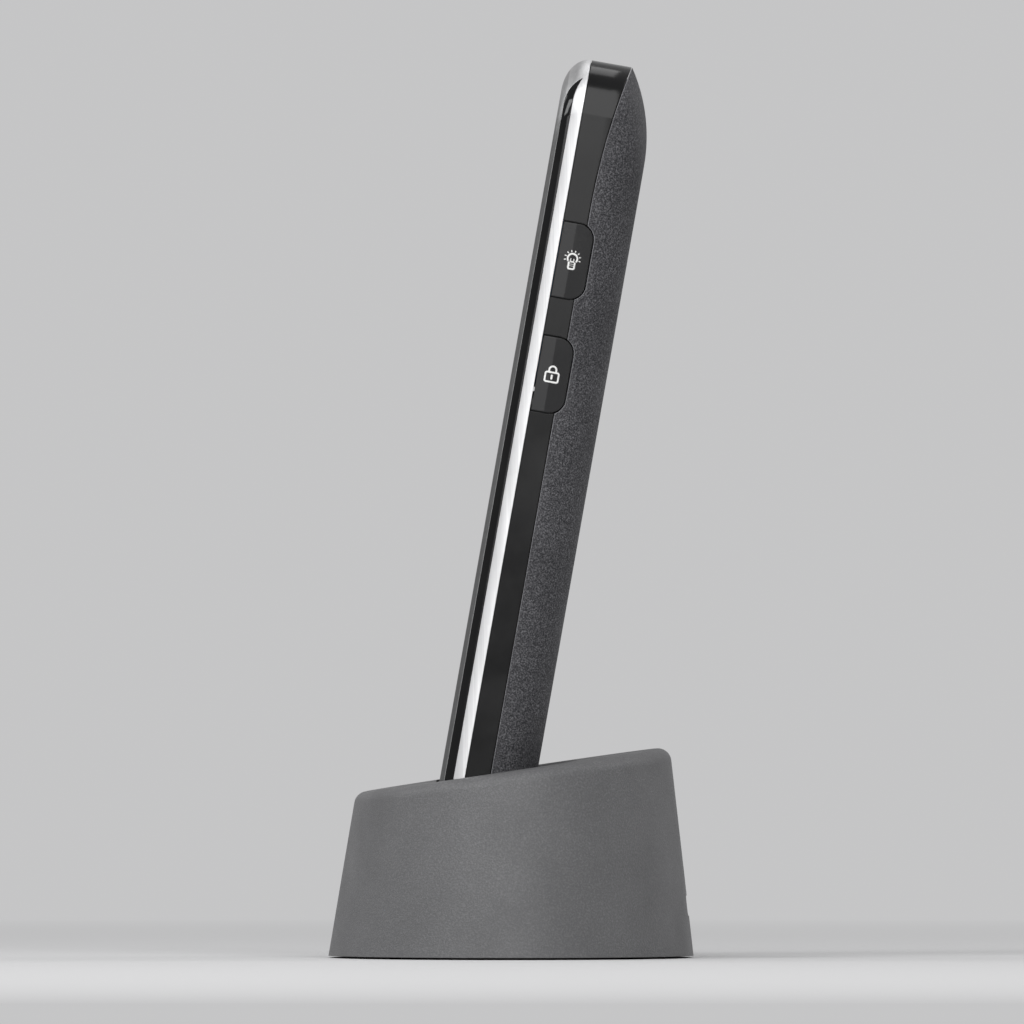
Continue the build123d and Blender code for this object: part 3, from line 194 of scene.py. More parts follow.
def moulded_plastic(
    name, dark, light, roughness, grain_scale, depth,
    cloud_rough=0.1, radius=0.2 * MM, edge_highlight=0.25, specular=0.3,
):
    """Grained plastic: specks of a lighter tone, cloudy gloss, rounded edges with a painted highlight."""
    material, tree, shader = start_material(name, roughness)
    shader.inputs["Specular IOR Level"].default_value = specular
    grains = place_group(tree, grain, Grain_Scale=grain_scale)
    rim = place_group(tree, edges, Radius=radius)
    speckled = blend_colours(tree, grains["Speck"], dark, light)
    cloudy = tuple(CLOUD_TONE_SHARE * tone for tone in dark)
    clouded = blend_colours(tree, part_of(tree, grains["Cloud"], CLOUD_SHARE), speckled, cloudy)
    highlit = tuple(min(MOULDED_HIGHLIGHT_GAIN * tone + MOULDED_HIGHLIGHT_LIFT, 1) for tone in light)
    coloured = blend_colours(tree, part_of(tree, rim["Edge"], edge_highlight), clouded, highlit)
    tree.links.new(coloured, shader.inputs["Base Color"])
    uneven_gloss(tree, shader, roughness, grains["Cloud"], cloud_rough)
    relief(tree, shader, grains["Height"], depth, GRAIN_STRENGTH, rim["Normal"])
    return material


def dress(material, *names):
    """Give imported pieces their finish."""
    for name in names:
        for place in nodes[name].material_slots:
            place.material = material


cradle_plastic = moulded_plastic(
    "cradle_plastic", dark=(0.088, 0.088, 0.091), light=(0.135, 0.135, 0.138), roughness=0.46,
    grain_scale=3600.0, depth=0.03 * MM,
)
dress(cradle_plastic, "cradle_shell", "cradle_base")

# Cradle feet: four discs of soft black rubber, pressed into recesses of the base plate. They grip the
# desk by their weight alone and pick up dust, so they are matt and a little grey.
rubber = moulded_plastic(
    "foot_rubber", dark=(0.016, 0.016, 0.016), light=(0.05, 0.05, 0.048), roughness=0.72,
    grain_scale=2200.0, depth=0.05 * MM, radius=0.3 * MM,
)
dress(rubber, "cradle_feet")

# Screws, sockets, cans and motor: bright steel, turned from bar or pressed from rolled sheet and then
# screwed or soldered in place. Rolling and turning leave fine lines that run one way across each piece.
METAL = 1.0
METAL_EDGE = 0.1 * MM
METAL_LINE_SPAN = (0.3, 0.7)
METAL_SMUDGE_SPAN = (0.35, 0.7)
METAL_SMUDGE = 0.12
METAL_HIGHLIGHT = 0.6
METAL_HIGHLIGHT_GAIN = 1.15
METAL_LINE_DEPTH = 0.004 * MM
METAL_LINE_STRENGTH = 0.25


def drawn_metal(name, dark, light, roughness, stretch, turn, scale=5200.0):
    """Metal with fine lines along one way, cloudy gloss and a painted highlight on its edges."""
    material, tree, shader = start_material(name, roughness, METAL)
    place = tree.nodes.new("ShaderNodeTexCoord")
    lines_place = add_node(tree, "ShaderNodeMapping", Rotation=turn, Scale=stretch)
    lines = add_node(tree, "ShaderNodeTexNoise", Scale=scale, Detail=4.0, Roughness=0.7)
    smudges = add_node(tree, "ShaderNodeTexNoise", Scale=120.0, Detail=3.0, Roughness=0.55)
    tree.links.new(place.outputs["Object"], lines_place.inputs["Vector"])
    tree.links.new(place.outputs["Object"], smudges.inputs["Vector"])
    tree.links.new(lines_place.outputs["Vector"], lines.inputs["Vector"])
    rim = place_group(tree, edges, Radius=METAL_EDGE)
    lined = blend_colours(tree, remap(tree, lines.outputs["Fac"], METAL_LINE_SPAN), dark, light)
    bright = tuple(min(METAL_HIGHLIGHT_GAIN * tone, 1) for tone in light)
    coloured = blend_colours(tree, part_of(tree, rim["Edge"], METAL_HIGHLIGHT), lined, bright)
    tree.links.new(coloured, shader.inputs["Base Color"])
    smear = remap(tree, smudges.outputs["Fac"], METAL_SMUDGE_SPAN)
    uneven_gloss(tree, shader, roughness, smear, METAL_SMUDGE)
    relief(tree, shader, lines.outputs["Fac"], METAL_LINE_DEPTH, METAL_LINE_STRENGTH, rim["Normal"])
    return material


steel = drawn_metal(
    "bright_steel", dark=(0.46, 0.46, 0.47), light=(0.66, 0.66, 0.66), roughness=0.28,
    stretch=(1, 0.03, 1), turn=(0, 0, 0),
)
dress(steel, "cradle_screws", "cradle_inlet", "shield_cans", "sim_holder", "chassis_screws")
dress(steel, "handset_socket", "vibration_motor")

# Cradle weight: a plate blanked from thick steel sheet and zinc plated, dull and cloudy. It lies on the
# base plate and keeps the cradle down when the handset is lifted.
weight_iron = drawn_metal(
    "zinc_plate", dark=(0.2, 0.2, 0.21), light=(0.36, 0.36, 0.37), roughness=0.5,
    stretch=(0.2, 1, 1), turn=(0, 0, 0.3), scale=900.0,
)
dress(weight_iron, "cradle_weight")

# Circuit boards of cradle and handset: glass-fibre sheet under a green solder mask, milled to outline.
# One rests on posts of the base plate, the other on the chassis. Lighter tracks show through the mask.
TRACK_ROWS = 3
TRACK_DEPTH = 0.03 * MM
TRACK_STRENGTH = 0.4
BOARD_SPECK_SHARE = 0.4
board_green, board_tree, board_shader = start_material("solder_mask", 0.35)
board_place = board_tree.nodes.new("ShaderNodeTexCoord")
board_tracks = add_node(board_tree, "ShaderNodeTexBrick", Scale=160.0, Mortar_Size=0.09, Bias=0.2)
board_tracks.offset_frequency = TRACK_ROWS
board_tree.links.new(board_place.outputs["Object"], board_tracks.inputs["Vector"])
board_grains = place_group(board_tree, grain, Grain_Scale=2400.0)
board_mask = blend_colours(
    board_tree, board_tracks.outputs["Fac"], dark=(0.012, 0.085, 0.035), light=(0.03, 0.17, 0.075)
)
board_specks = part_of(board_tree, board_grains["Speck"], BOARD_SPECK_SHARE)
board_tree.links.new(
    blend_colours(board_tree, board_specks, board_mask, (0.02, 0.06, 0.03)), board_shader.inputs["Base Color"]
)
relief(board_tree, board_shader, board_tracks.outputs["Fac"], TRACK_DEPTH, TRACK_STRENGTH)
dress(board_green, "cradle_board", "main_board")

# Charge contacts: brass pins and barrels turned on a lathe and gold plated. The handset's pads, the
# battery contacts and the antenna sheet are stamped from strip and plated in the same bath.
LEAN = math.radians(10)
ALONG_HANDSET = (-LEAN, 0, 0)
gold = drawn_metal(
    "gold_plate", dark=(0.62, 0.43, 0.14), light=(0.83, 0.62, 0.24), roughness=0.22,
    stretch=(1, 1, 0.04), turn=ALONG_HANDSET,
)
dress(gold, "pin_barrels", "charge_pin_left", "charge_pin_right")
dress(gold, "charge_pads", "battery_contacts", "antenna")

# Chassis: the mid frame, moulded in black ABS in a polished tool, which the other pieces of the handset
# clip and screw to. Its gloss flanks show finger smudges, and hairline scratches along the handset.
SCRATCH_SPAN = (0.6, 0.75)
SCRATCH_DEPTH = 0.002 * MM
SCRATCH_STRENGTH = 0.2
SMUDGE_SPAN = (0.42, 0.72)
GLOSS_HIGHLIGHT_GAIN = 2.2
GLOSS_HIGHLIGHT_LIFT = 0.03
GLOSS_SPECULAR = 0.26


def gloss_plastic(name, dark, light, roughness, smudge=0.1, radius=0.15 * MM, edge_highlight=0.2):
    """Polished plastic: smudged gloss, hairline scratches, rounded edges with a painted highlight."""
    material, tree, shader = start_material(name, roughness)
    shader.inputs["Specular IOR Level"].default_value = GLOSS_SPECULAR
    place = tree.nodes.new("ShaderNodeTexCoord")
    hairs_place = add_node(tree, "ShaderNodeMapping", Rotation=ALONG_HANDSET, Scale=(1, 1, 0.02))
    hairs = add_node(tree, "ShaderNodeTexNoise", Scale=2600.0, Detail=2.0, Roughness=0.5)
    smudges = add_node(tree, "ShaderNodeTexNoise", Scale=75.0, Detail=4.0, Roughness=0.6, Distortion=0.4)
    tree.links.new(place.outputs["Object"], hairs_place.inputs["Vector"])
    tree.links.new(hairs_place.outputs["Vector"], hairs.inputs["Vector"])
    tree.links.new(place.outputs["Object"], smudges.inputs["Vector"])
    rim = place_group(tree, edges, Radius=radius)
    smear = remap(tree, smudges.outputs["Fac"], SMUDGE_SPAN)
    tinted = blend_colours(tree, smear, dark, light)
    highlit = tuple(min(GLOSS_HIGHLIGHT_GAIN * tone + GLOSS_HIGHLIGHT_LIFT, 1) for tone in light)
    coloured = blend_colours(tree, part_of(tree, rim["Edge"], edge_highlight), tinted, highlit)
    tree.links.new(coloured, shader.inputs["Base Color"])
    uneven_gloss(tree, shader, roughness, smear, smudge)
    scratches = remap(tree, hairs.outputs["Fac"], SCRATCH_SPAN)
    relief(tree, shader, scratches, SCRATCH_DEPTH, SCRATCH_STRENGTH, rim["Normal"])
    return material


BLACK = (0.002, 0.002, 0.0022)
SMEARED_BLACK = (0.004, 0.004, 0.0042)
gloss_black = gloss_plastic("gloss_black", BLACK, SMEARED_BLACK, roughness=0.15, edge_highlight=0.5)
dress(gloss_black, "chassis")

# Switches, speakers and microphone: small bought components in moulded black housings, fixed to the
# main board, the fascia or the chassis.
component_black = moulded_plastic(
    "component_black", dark=(0.02, 0.02, 0.02), light=(0.05, 0.05, 0.05), roughness=0.45,
    grain_scale=2800.0, depth=0.02 * MM,
)
dress(component_black, "side_switches", "earpiece_speaker", "microphone", "ringer_speaker")

# Torch: a clear acrylic lens pressed flush into the top end of the chassis, and behind it a light diode,
# of which the yellow phosphor shows.
phosphor = moulded_plastic(
    "phosphor", dark=(0.85, 0.74, 0.22), light=(0.95, 0.88, 0.42), roughness=0.4,
    grain_scale=5200.0, depth=0.02 * MM, edge_highlight=0.1,
)
dress(phosphor, "torch_led")
WIPED_TONE_SHARE = 0.97
WIPED_ROUGH = 0.03


def clear_plastic(name, colour, roughness, ior):
    """Clear polished plastic or glass, with faint wiping marks in its gloss."""
    material, tree, shader = start_material(name, roughness)
    shader.inputs["Transmission Weight"].default_value = 1.0
    shader.inputs["IOR"].default_value = ior
    grains = place_group(tree, grain, Grain_Scale=900.0, Cloud_Scale=60.0)
    wiped = tuple(WIPED_TONE_SHARE * tone for tone in colour)
    tree.links.new(blend_colours(tree, grains["Cloud"], colour, wiped), shader.inputs["Base Color"])
    wiped_gloss = remap(tree, grains["Cloud"], WHOLE, (roughness, roughness + WIPED_ROUGH))
    tree.links.new(wiped_gloss, shader.inputs["Roughness"])
    return material


lens_clear = clear_plastic("lens_clear", colour=(0.97, 0.98, 0.98), roughness=0.01, ior=1.49)
dress(lens_clear, "torch_lens")

# Battery: a flat cell in a satin silver-grey wrap, left without a label. It lies on the web of the
# chassis behind the rear cover, above its sprung contacts.
battery_wrap = moulded_plastic(
    "battery_wrap", dark=(0.36, 0.37, 0.39), light=(0.5, 0.51, 0.53), roughness=0.38,
    grain_scale=1500.0, depth=0.01 * MM, radius=0.4 * MM,
)
dress(battery_wrap, "battery")

# Dome sheet: clear film glued over silver domes on the main board, one under each front key, and cream
# where the glue shows through.
dome_film = moulded_plastic(
    "dome_film", dark=(0.6, 0.58, 0.5), light=(0.78, 0.77, 0.7), roughness=0.25,
    grain_scale=700.0, depth=0.02 * MM,
)
dress(dome_film, "dome_sheet")

# Front keys: dark semi-gloss caps moulded in one tone, which stand in the fascia's openings on the domes.
# Each is pad printed with a pale digit or sign, and the call and end keys in green and red.
front_key_black = gloss_plastic(
    "front_key_black", dark=(0.02, 0.02, 0.022), light=(0.03, 0.03, 0.032), roughness=0.2,
    smudge=0.12, edge_highlight=0.35,
)
NUMBER_KEYS = {
    "key_1": "1", "key_2": "2", "key_3": "3", "key_4": "4", "key_5": "5", "key_6": "6",
    "key_7": "7", "key_8": "8", "key_9": "9", "key_star": "*", "key_0": "0", "key_hash": "#",
}
SOFT_KEYS = ("left_soft_key", "right_soft_key")
dress(front_key_black, *NUMBER_KEYS, *SOFT_KEYS, "call_key", "end_key", "navigation_key")

# The handset's own axes, from the lower front corner that it stands on
UP = Vector((0, math.sin(LEAN), math.cos(LEAN)))
BACK = Vector((0, math.cos(LEAN), -math.sin(LEAN)))
ACROSS = Vector((1, 0, 0))
SEAT = Vector((0, -9.25, 13.1)) * MM
KEY_CROWN = -3.48 * MM
INK = 0.02 * MM
MERGE = 0.0005 * MM
PINPOINT = 0.0001 * MM


def sheet_frame(right, outward, place):
    """The matrix that stands a flat sign on a face of the handset: to the right, up and outward."""
    turn = Matrix((right, UP, outward)).transposed().to_4x4()
    return Matrix.Translation(place) @ turn


def height_of(point):
    """How high a point lies along the handset."""
    return (Vector(point) - SEAT).dot(UP)


def middle_of(name):
    """The middle of a piece's box."""
    low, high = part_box(name)
    return (Vector(low) + Vector(high)) / 2


def front_frame_at(across, height, depth):
    """The matrix that lays a sign on a face that looks forward, at a depth from the front seam."""
    return sheet_frame(ACROSS, -BACK, SEAT + ACROSS * across + UP * height + BACK * depth)


def crown_of(name):
    """The matrix that lays a sign on the middle of a front key's crown."""
    middle = middle_of(name)
    return front_frame_at(middle.x, height_of(middle), KEY_CROWN)


def printing_ink(name, dark, light):
    """A thin satin film of ink."""
    return moulded_plastic(
        name, dark, light, roughness=0.45, grain_scale=5200.0, depth=0.005 * MM, edge_highlight=0
    )


print_white = printing_ink("print_white", (0.7, 0.7, 0.69), (0.86, 0.86, 0.85))
print_green = printing_ink("print_green", (0.03, 0.36, 0.08), (0.06, 0.5, 0.13))
print_red = printing_ink("print_red", (0.46, 0.03, 0.025), (0.62, 0.06, 0.05))


def settle(name, mesh, material, body):
    """A finished mesh as a piece on its body."""
    piece = bpy.data.objects.new(name, mesh)
    bpy.context.scene.collection.objects.link(piece)
    mesh.materials.clear()
    mesh.materials.append(material)
    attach(piece, body)


def letter(name, text, size, place, material, body):
    """A printed digit or sign, as a thin film centred on its place."""
    curve = bpy.data.curves.new(name, "FONT")
    curve.body = text
    curve.size = size
    curve.extrude = INK
    curve.align_x = "CENTER"
    curve.align_y = "CENTER"
    curve.resolution_u = 4
    form = bpy.data.objects.new(name + "_form", curve)
    bpy.context.scene.collection.objects.link(form)
    bpy.context.view_layer.update()
    mesh = bpy.data.meshes.new_from_object(form.evaluated_get(bpy.context.evaluated_depsgraph_get()))
    bpy.data.objects.remove(form)
    shift = [0, 0, 0]
    for axis in (0, 1):
        reach = [vert.co[axis] for vert in mesh.vertices]
        shift[axis] = -(min(reach) + max(reach)) / 2
    mesh.transform(place @ Matrix.Translation(shift))
    settle(name, mesh, material, body)


def bar(form, across, up, wide, tall, turn=0.0):
    """A flat rectangle of a sign."""
    made = bmesh.ops.create_grid(form, x_segments=1, y_segments=1, size=0.5)
    stretch = Matrix.Diagonal((wide, tall, 1, 1))
    place = Matrix.Translation((across, up, 0)) @ Matrix.Rotation(turn, 4, "Z") @ stretch
    bmesh.ops.transform(form, matrix=place, verts=made["verts"])


def bow(form, across, up, inner, outer, start, sweep, steps):
    """A flat piece of a ring, from one angle through a sweep, in degrees."""
    heading = Vector((math.cos(math.radians(start)), math.sin(math.radians(start)), 0))
    middle = Vector((across, up, 0))
    ends = [form.verts.new(middle + heading * radius) for radius in (inner, outer)]
    edge = form.edges.new(ends)
    bmesh.ops.spin(
        form, geom=ends + [edge], cent=middle, axis=(0, 0, 1), angle=math.radians(sweep), steps=steps
    )


def raise_film(form):
    """Give a flat sign the thickness of its ink."""
    bmesh.ops.remove_doubles(form, verts=form.verts, dist=MERGE)
    bmesh.ops.recalc_face_normals(form, faces=form.faces)
    for face in form.faces:
        if face.normal.z < 0:
            face.normal_flip()
    film = bmesh.ops.extrude_face_region(form, geom=form.faces[:])
    raised = [part for part in film["geom"] if isinstance(part, bmesh.types.BMVert)]
    for vert in form.verts:
        vert.co.z = INK if vert in raised else -INK


def lay_film(name, form, place, material, body):
    """Lay a sign's film on its face, as a piece."""
    bmesh.ops.recalc_face_normals(form, faces=form.faces)
    bmesh.ops.transform(form, matrix=place, verts=form.verts)
    mesh = bpy.data.meshes.new(name)
    form.to_mesh(mesh)
    form.free()
    settle(name, mesh, material, body)


def sign(name, form, place, material, body):
    """A flat sign printed on a flat face."""
    raise_film(form)
    lay_film(name, form, place, material, body)


# Digits, a star and a hash on the number keys
DIGIT_SIZE = 5.4 * MM
for key, digit in NUMBER_KEYS.items():
    letter(key + "_digit", digit, DIGIT_SIZE, crown_of(key), print_white, key)

# Lifted and laid handset on the call and end keys: a curved grip with an ear piece and a mouth piece
GRIP_RISE = 0.3 * MM
GRIP_RADIUS = 3.0 * MM
GRIP_THICK = 0.75 * MM
GRIP_START = 42
GRIP_SWEEP = 96
GRIP_STEPS = 24
CUP_OUT = 2.35 * MM
CUP_DROP = 0.98 * MM
CUP_WIDE = 1.35 * MM
CUP_TALL = 1.25 * MM
CUP_TURN = 0.72
LIFTED_TURN = 0.6


def handset_sign(turn):
    """The flat form of a telephone handset, turned about its middle."""
    form = bmesh.new()
    bow(
        form, 0, GRIP_RISE - GRIP_RADIUS, GRIP_RADIUS, GRIP_RADIUS + GRIP_THICK,
        GRIP_START, GRIP_SWEEP, GRIP_STEPS,
    )
    for side in (-1, 1):
        bar(form, side * CUP_OUT, GRIP_RISE - CUP_DROP, CUP_WIDE, CUP_TALL, -side * CUP_TURN)
    bmesh.ops.rotate(form, verts=form.verts, cent=(0, 0, 0), matrix=Matrix.Rotation(turn, 3, "Z"))
    return form


call_form = handset_sign(LIFTED_TURN)
sign("call_sign", call_form, crown_of("call_key"), print_green, "call_key")
end_form = handset_sign(0.0)
sign("end_sign", end_form, crown_of("end_key"), print_red, "end_key")

# Dashes with round ends on the soft keys, and an arrow up and one down on the navigation key
DASH_LONG = 4.2 * MM
DASH_THICK = 0.7 * MM
DASH_STEPS = 10
ARROW_OUT = 0.78 * MM
ARROW_RISE = 5.1 * MM
ARROW_LONG = 2.3 * MM
ARROW_THICK = 0.62 * MM
ARROW_TURN = 0.72
for key in SOFT_KEYS:
    dash = bmesh.new()
    bar(dash, 0, 0, DASH_LONG, DASH_THICK)
    for side in (-1, 1):
        bow(dash, side * DASH_LONG / 2, 0, PINPOINT, DASH_THICK / 2, -90 * side, 180, DASH_STEPS)
    sign(key + "_sign", dash, crown_of(key), print_white, key)
arrows = bmesh.new()
for way in (-1, 1):
    for side in (-1, 1):
        bar(arrows, side * ARROW_OUT, way * ARROW_RISE, ARROW_LONG, ARROW_THICK, -side * way * ARROW_TURN)
navigation_face = crown_of("navigation_key")
sign("navigation_arrows", arrows, navigation_face, print_white, "navigation_key")

# Fascia and bands: gloss black mouldings like the chassis. The fascia sits with a flange behind the front
# frame's ledge, and the bands
#  are strips let into the frame's shoulders, a dark piece that stands as a painted reflection of dark
#  surroundings on the silver shoulder.
fascia_black = gloss_plastic("fascia_black", BLACK, SMEARED_BLACK, roughness=0.06)
dress(fascia_black, "fascia", "frame_bands")

# Display: a small colour screen lit from behind, under a clear lens stuck into the fascia. It shows the
# time, the strength of the signal and the charge of the battery.
dress(lens_clear, "display_lens")
GLOW_SPAN = (86 * MM, 120 * MM)
ROW_SHARE = 0.2
AHEAD_SPAN = (0.9, 0.95)
UNLIT = (0.0, 0.0, 0.0)
screen, screen_tree, screen_shader = start_material("screen_lit", 0.25)
screen_place = screen_tree.nodes.new("ShaderNodeTexCoord")
screen_rows = add_node(screen_tree, "ShaderNodeTexWave", Scale=1400.0)
screen_rows.bands_direction = "Z"
screen_parts = screen_tree.nodes.new("ShaderNodeSeparateXYZ")
screen_tree.links.new(screen_place.outputs["Object"], screen_rows.inputs["Vector"])
screen_tree.links.new(screen_place.outputs["Object"], screen_parts.inputs["Vector"])
screen_rise = remap(screen_tree, screen_parts.outputs["Z"], GLOW_SPAN)
screen_glow = blend_colours(screen_tree, screen_rise, dark=(0.015, 0.05, 0.11), light=(0.04, 0.16, 0.32))
screen_lines = part_of(screen_tree, screen_rows.outputs["Fac"], ROW_SHARE)
screen_lit = blend_colours(screen_tree, screen_lines, screen_glow, UNLIT)
screen_face = screen_tree.nodes.new("ShaderNodeNewGeometry")
screen_ahead = screen_tree.nodes.new("ShaderNodeVectorMath")
screen_ahead.operation = "DOT_PRODUCT"
screen_ahead.inputs[1].default_value = -BACK
screen_tree.links.new(screen_face.outputs["True Normal"], screen_ahead.inputs[0])
screen_mask = remap(screen_tree, screen_ahead.outputs["Value"], AHEAD_SPAN)
screen_seen = blend_colours(screen_tree, screen_mask, UNLIT, screen_lit)
screen_tree.links.new(screen_seen, screen_shader.inputs["Emission Color"])
screen_tree.links.new(screen_lit, screen_shader.inputs["Base Color"])
screen_shader.inputs["Emission Strength"].default_value = 0.8
dress(screen, "display_module")

# The signs on the screen, as bright as its pale pixels
glow, glow_tree, glow_shader = start_material("screen_signs", 0.4)
glow_grain = place_group(glow_tree, grain, Grain_Scale=5200.0)
glow_tint = blend_colours(glow_tree, glow_grain["Speck"], dark=(0.8, 0.86, 0.9), light=(0.95, 0.97, 0.98))
glow_tree.links.new(glow_tint, glow_shader.inputs["Emission Color"])
glow_tree.links.new(glow_tint, glow_shader.inputs["Base Color"])
glow_shader.inputs["Emission Strength"].default_value = 0.75
SCREEN_FACE = -1.75 * MM
SCREEN_MARGIN = 5.2 * MM
CLOCK_SIZE = 9.5 * MM
lens_low, lens_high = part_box("display_lens")
screen_top = height_of(lens_high) - SCREEN_MARGIN
screen_middle = (height_of(lens_low) + height_of(lens_high)) / 2
clock_face = front_frame_at(0, screen_middle, SCREEN_FACE)
letter("screen_clock", "12:30", CLOCK_SIZE, clock_face, glow, "handset")

SIGNAL_ACROSS = -15 * MM
SIGNAL_BARS = 4
SIGNAL_PITCH = 0.95 * MM
SIGNAL_WIDE = 0.6 * MM
SIGNAL_FIRST = 0.7 * MM
SIGNAL_STEP = 0.5 * MM
SIGNAL_FOOT = -1.1 * MM
signal = bmesh.new()
for step in range(SIGNAL_BARS):
    tall = SIGNAL_FIRST + step * SIGNAL_STEP
    bar(signal, step * SIGNAL_PITCH, SIGNAL_FOOT + tall / 2, SIGNAL_WIDE, tall)
signal_face = front_frame_at(SIGNAL_ACROSS, screen_top, SCREEN_FACE)
sign("screen_signal", signal, signal_face, glow, "handset")

CELL_ACROSS = 14 * MM
CELL_LONG = 4.4 * MM
CELL_LINE = 0.26 * MM
CELL_RISE = 1.0 * MM
CELL_TIP_WIDE = 0.5 * MM
CELL_TIP_TALL = 0.9 * MM
CELL_FILLS = (-1, 0, 1)
CELL_FILL_PITCH = 1.15 * MM
CELL_FILL_WIDE = 0.85 * MM
CELL_FILL_TALL = 1.2 * MM
charge = bmesh.new()
for side in (-1, 1):
    bar(charge, 0, side * CELL_RISE, CELL_LONG, CELL_LINE)
    bar(charge, side * (CELL_LONG - CELL_LINE) / 2, 0, CELL_LINE, 2 * CELL_RISE - CELL_LINE)
bar(charge, (CELL_LONG + CELL_TIP_WIDE) / 2, 0, CELL_TIP_WIDE, CELL_TIP_TALL)
for fill in CELL_FILLS:
    bar(charge, fill * CELL_FILL_PITCH, 0, CELL_FILL_WIDE, CELL_FILL_TALL)
charge_face = front_frame_at(CELL_ACROSS, screen_top, SCREEN_FACE)
sign("screen_charge", charge, charge_face, glow, "handset")

# Earpiece mesh: woven steel wire, cut to the slot of the fascia and glued behind it, with painted shade in
# the openings between its
#  wires.
WEAVE_DEPTH = 0.05 * MM
WEAVE_STRENGTH = 0.8
mesh_wire, wire_tree, wire_shader = start_material("woven_wire", 0.35, METAL)
wire_place = wire_tree.nodes.new("ShaderNodeTexCoord")
wire_weave = add_node(wire_tree, "ShaderNodeTexChecker", Scale=2500.0)
wire_tree.links.new(wire_place.outputs["Object"], wire_weave.inputs["Vector"])
wire_tone = blend_colours(
    wire_tree, wire_weave.outputs["Fac"], dark=(0.03, 0.03, 0.03), light=(0.42, 0.42, 0.43)
)
wire_tree.links.new(wire_tone, wire_shader.inputs["Base Color"])
relief(wire_tree, wire_shader, wire_weave.outputs["Fac"], WEAVE_DEPTH, WEAVE_STRENGTH)
dress(mesh_wire, "earpiece_mesh")

# Front frame: a die-cast ring in front of the chassis, brushed along the handset and given a satin silver
# lacquer. Its colour
#  carries painted shade, darker from the seam over the shoulder, and a painted dark reflection on the front
#  lip, less towards the top end.
FRAME_SHADE_FLANK_SPAN = (-1.7 * MM, -0.15 * MM)
FRAME_SHADE_LIP_SPAN = (-3.0 * MM, -2.75 * MM)
FRAME_SHADE_TOP_SPAN = (104 * MM, 116 * MM)
FRAME_SHADE_FLANK_SHARES = (0.6, 1.0)
FRAME_SHADE_LIP_SHARES = (0.25, 1.0)
FRAME_SHADE_TOP_SHARES = (0.0, 0.7)
FRAME_PAINTED_SHADE = (0.02, 0.02, 0.02)
frame_silver = drawn_metal(
    "frame_silver", dark=(0.5, 0.5, 0.505), light=(0.64, 0.64, 0.645), roughness=0.42,
    stretch=(1, 1, 0.012), turn=ALONG_HANDSET, scale=3000.0,
)
frame_tree = frame_silver.node_tree
frame_base = frame_tree.nodes["Principled BSDF"].inputs["Base Color"]
frame_lacquer = frame_base.links[0].from_socket


def handset_measure(tree, axis):
    """How far a point lies along one axis of the handset, from its lower front corner."""
    place = tree.nodes.new("ShaderNodeTexCoord")
    along = tree.nodes.new("ShaderNodeVectorMath")
    along.operation = "DOT_PRODUCT"
    along.inputs[1].default_value = axis
    tree.links.new(place.outputs["Object"], along.inputs[0])
    return arithmetic(tree, "SUBTRACT", along.outputs["Value"], SEAT.dot(axis))


# Painted shade and reflection: the silver is mixed towards near black over the shoulder and at the front lip
frame_depth = handset_measure(frame_tree, BACK)
frame_height = handset_measure(frame_tree, UP)
frame_flank_shade = remap(frame_tree, frame_depth, FRAME_SHADE_FLANK_SPAN, FRAME_SHADE_FLANK_SHARES)
frame_lip_shade = remap(frame_tree, frame_depth, FRAME_SHADE_LIP_SPAN, FRAME_SHADE_LIP_SHARES)
frame_top_shade = remap(frame_tree, frame_height, FRAME_SHADE_TOP_SPAN, FRAME_SHADE_TOP_SHARES)
frame_front_shade = arithmetic(frame_tree, "MAXIMUM", frame_lip_shade, frame_top_shade)
frame_shade = arithmetic(frame_tree, "MULTIPLY", frame_flank_shade, frame_front_shade)
frame_tree.links.new(blend_colours(frame_tree, frame_shade, FRAME_PAINTED_SHADE, frame_lacquer), frame_base)
dress(frame_silver, "front_frame")

# Rear cover and chin cap: charcoal mouldings under a soft-touch lacquer full of fine pale specks, slightly
# blue, which turn the flank mottled where light falls on it. The cover closes round a lip of the chassis.
# The cover's edges take a strong painted highlight.
cover_soft = moulded_plastic(
    "cover_soft_touch", dark=(0.02, 0.02, 0.0225), light=(0.15, 0.149, 0.158), roughness=0.5,
    grain_scale=4000.0, depth=0.07 * MM, cloud_rough=0.12, radius=0.3 * MM, edge_highlight=0.8, specular=0.15,
)
dress(cover_soft, "rear_cover", "chin_cap")

# Side keys: dark grey caps held behind the chassis wall, with a crease along each that parts two flat
# facets. They are printed with a pale sign: a lamp with rays, a padlock, a plus and a minus.
# The keys' edges take a painted highlight.
side_key_grey = gloss_plastic(
    "side_key_grey", dark=(0.012, 0.012, 0.0125), light=(0.017, 0.017, 0.0175), roughness=0.24,
    radius=0.2 * MM, edge_highlight=0.6,
)
dress(side_key_grey, "torch_key", "lock_key", "volume_rocker")
KEY_CREASE_DEPTH = 2.1 * MM
KEY_CREASE_OUT = 27.05 * MM
KEY_FRONT_DEPTH = 1.9 * MM
KEY_FRONT_DROP = 0.2 * MM
KEY_BACK_DEPTH = 2.75 * MM
KEY_BACK_DROP = 0.6 * MM
SIGN_DEPTH = 2.37 * MM


def key_facet(along, crease):
    """How far a sign falls away from its fold, to one side and to the other."""
    if along < crease:
        return (along - crease) * KEY_FRONT_DROP / KEY_FRONT_DEPTH
    return (crease - along) * KEY_BACK_DROP / KEY_BACK_DEPTH


def creased_sign(name, form, side, height, body):
    """A flat sign cut at the crease of a side key and folded along it."""
    crease = side * (KEY_CREASE_DEPTH - SIGN_DEPTH)
    sheet = form.verts[:] + form.edges[:] + form.faces[:]
    bmesh.ops.bisect_plane(form, geom=sheet, plane_co=(crease, 0, 0), plane_no=(1, 0, 0))
    raise_film(form)
    for vert in form.verts:
        vert.co.z += key_facet(vert.co.x, crease)
    middle = SEAT + ACROSS * side * KEY_CREASE_OUT + UP * height + BACK * SIGN_DEPTH
    place = sheet_frame(BACK * side, ACROSS * side, middle)
    lay_film(name, form, place, print_white, body)


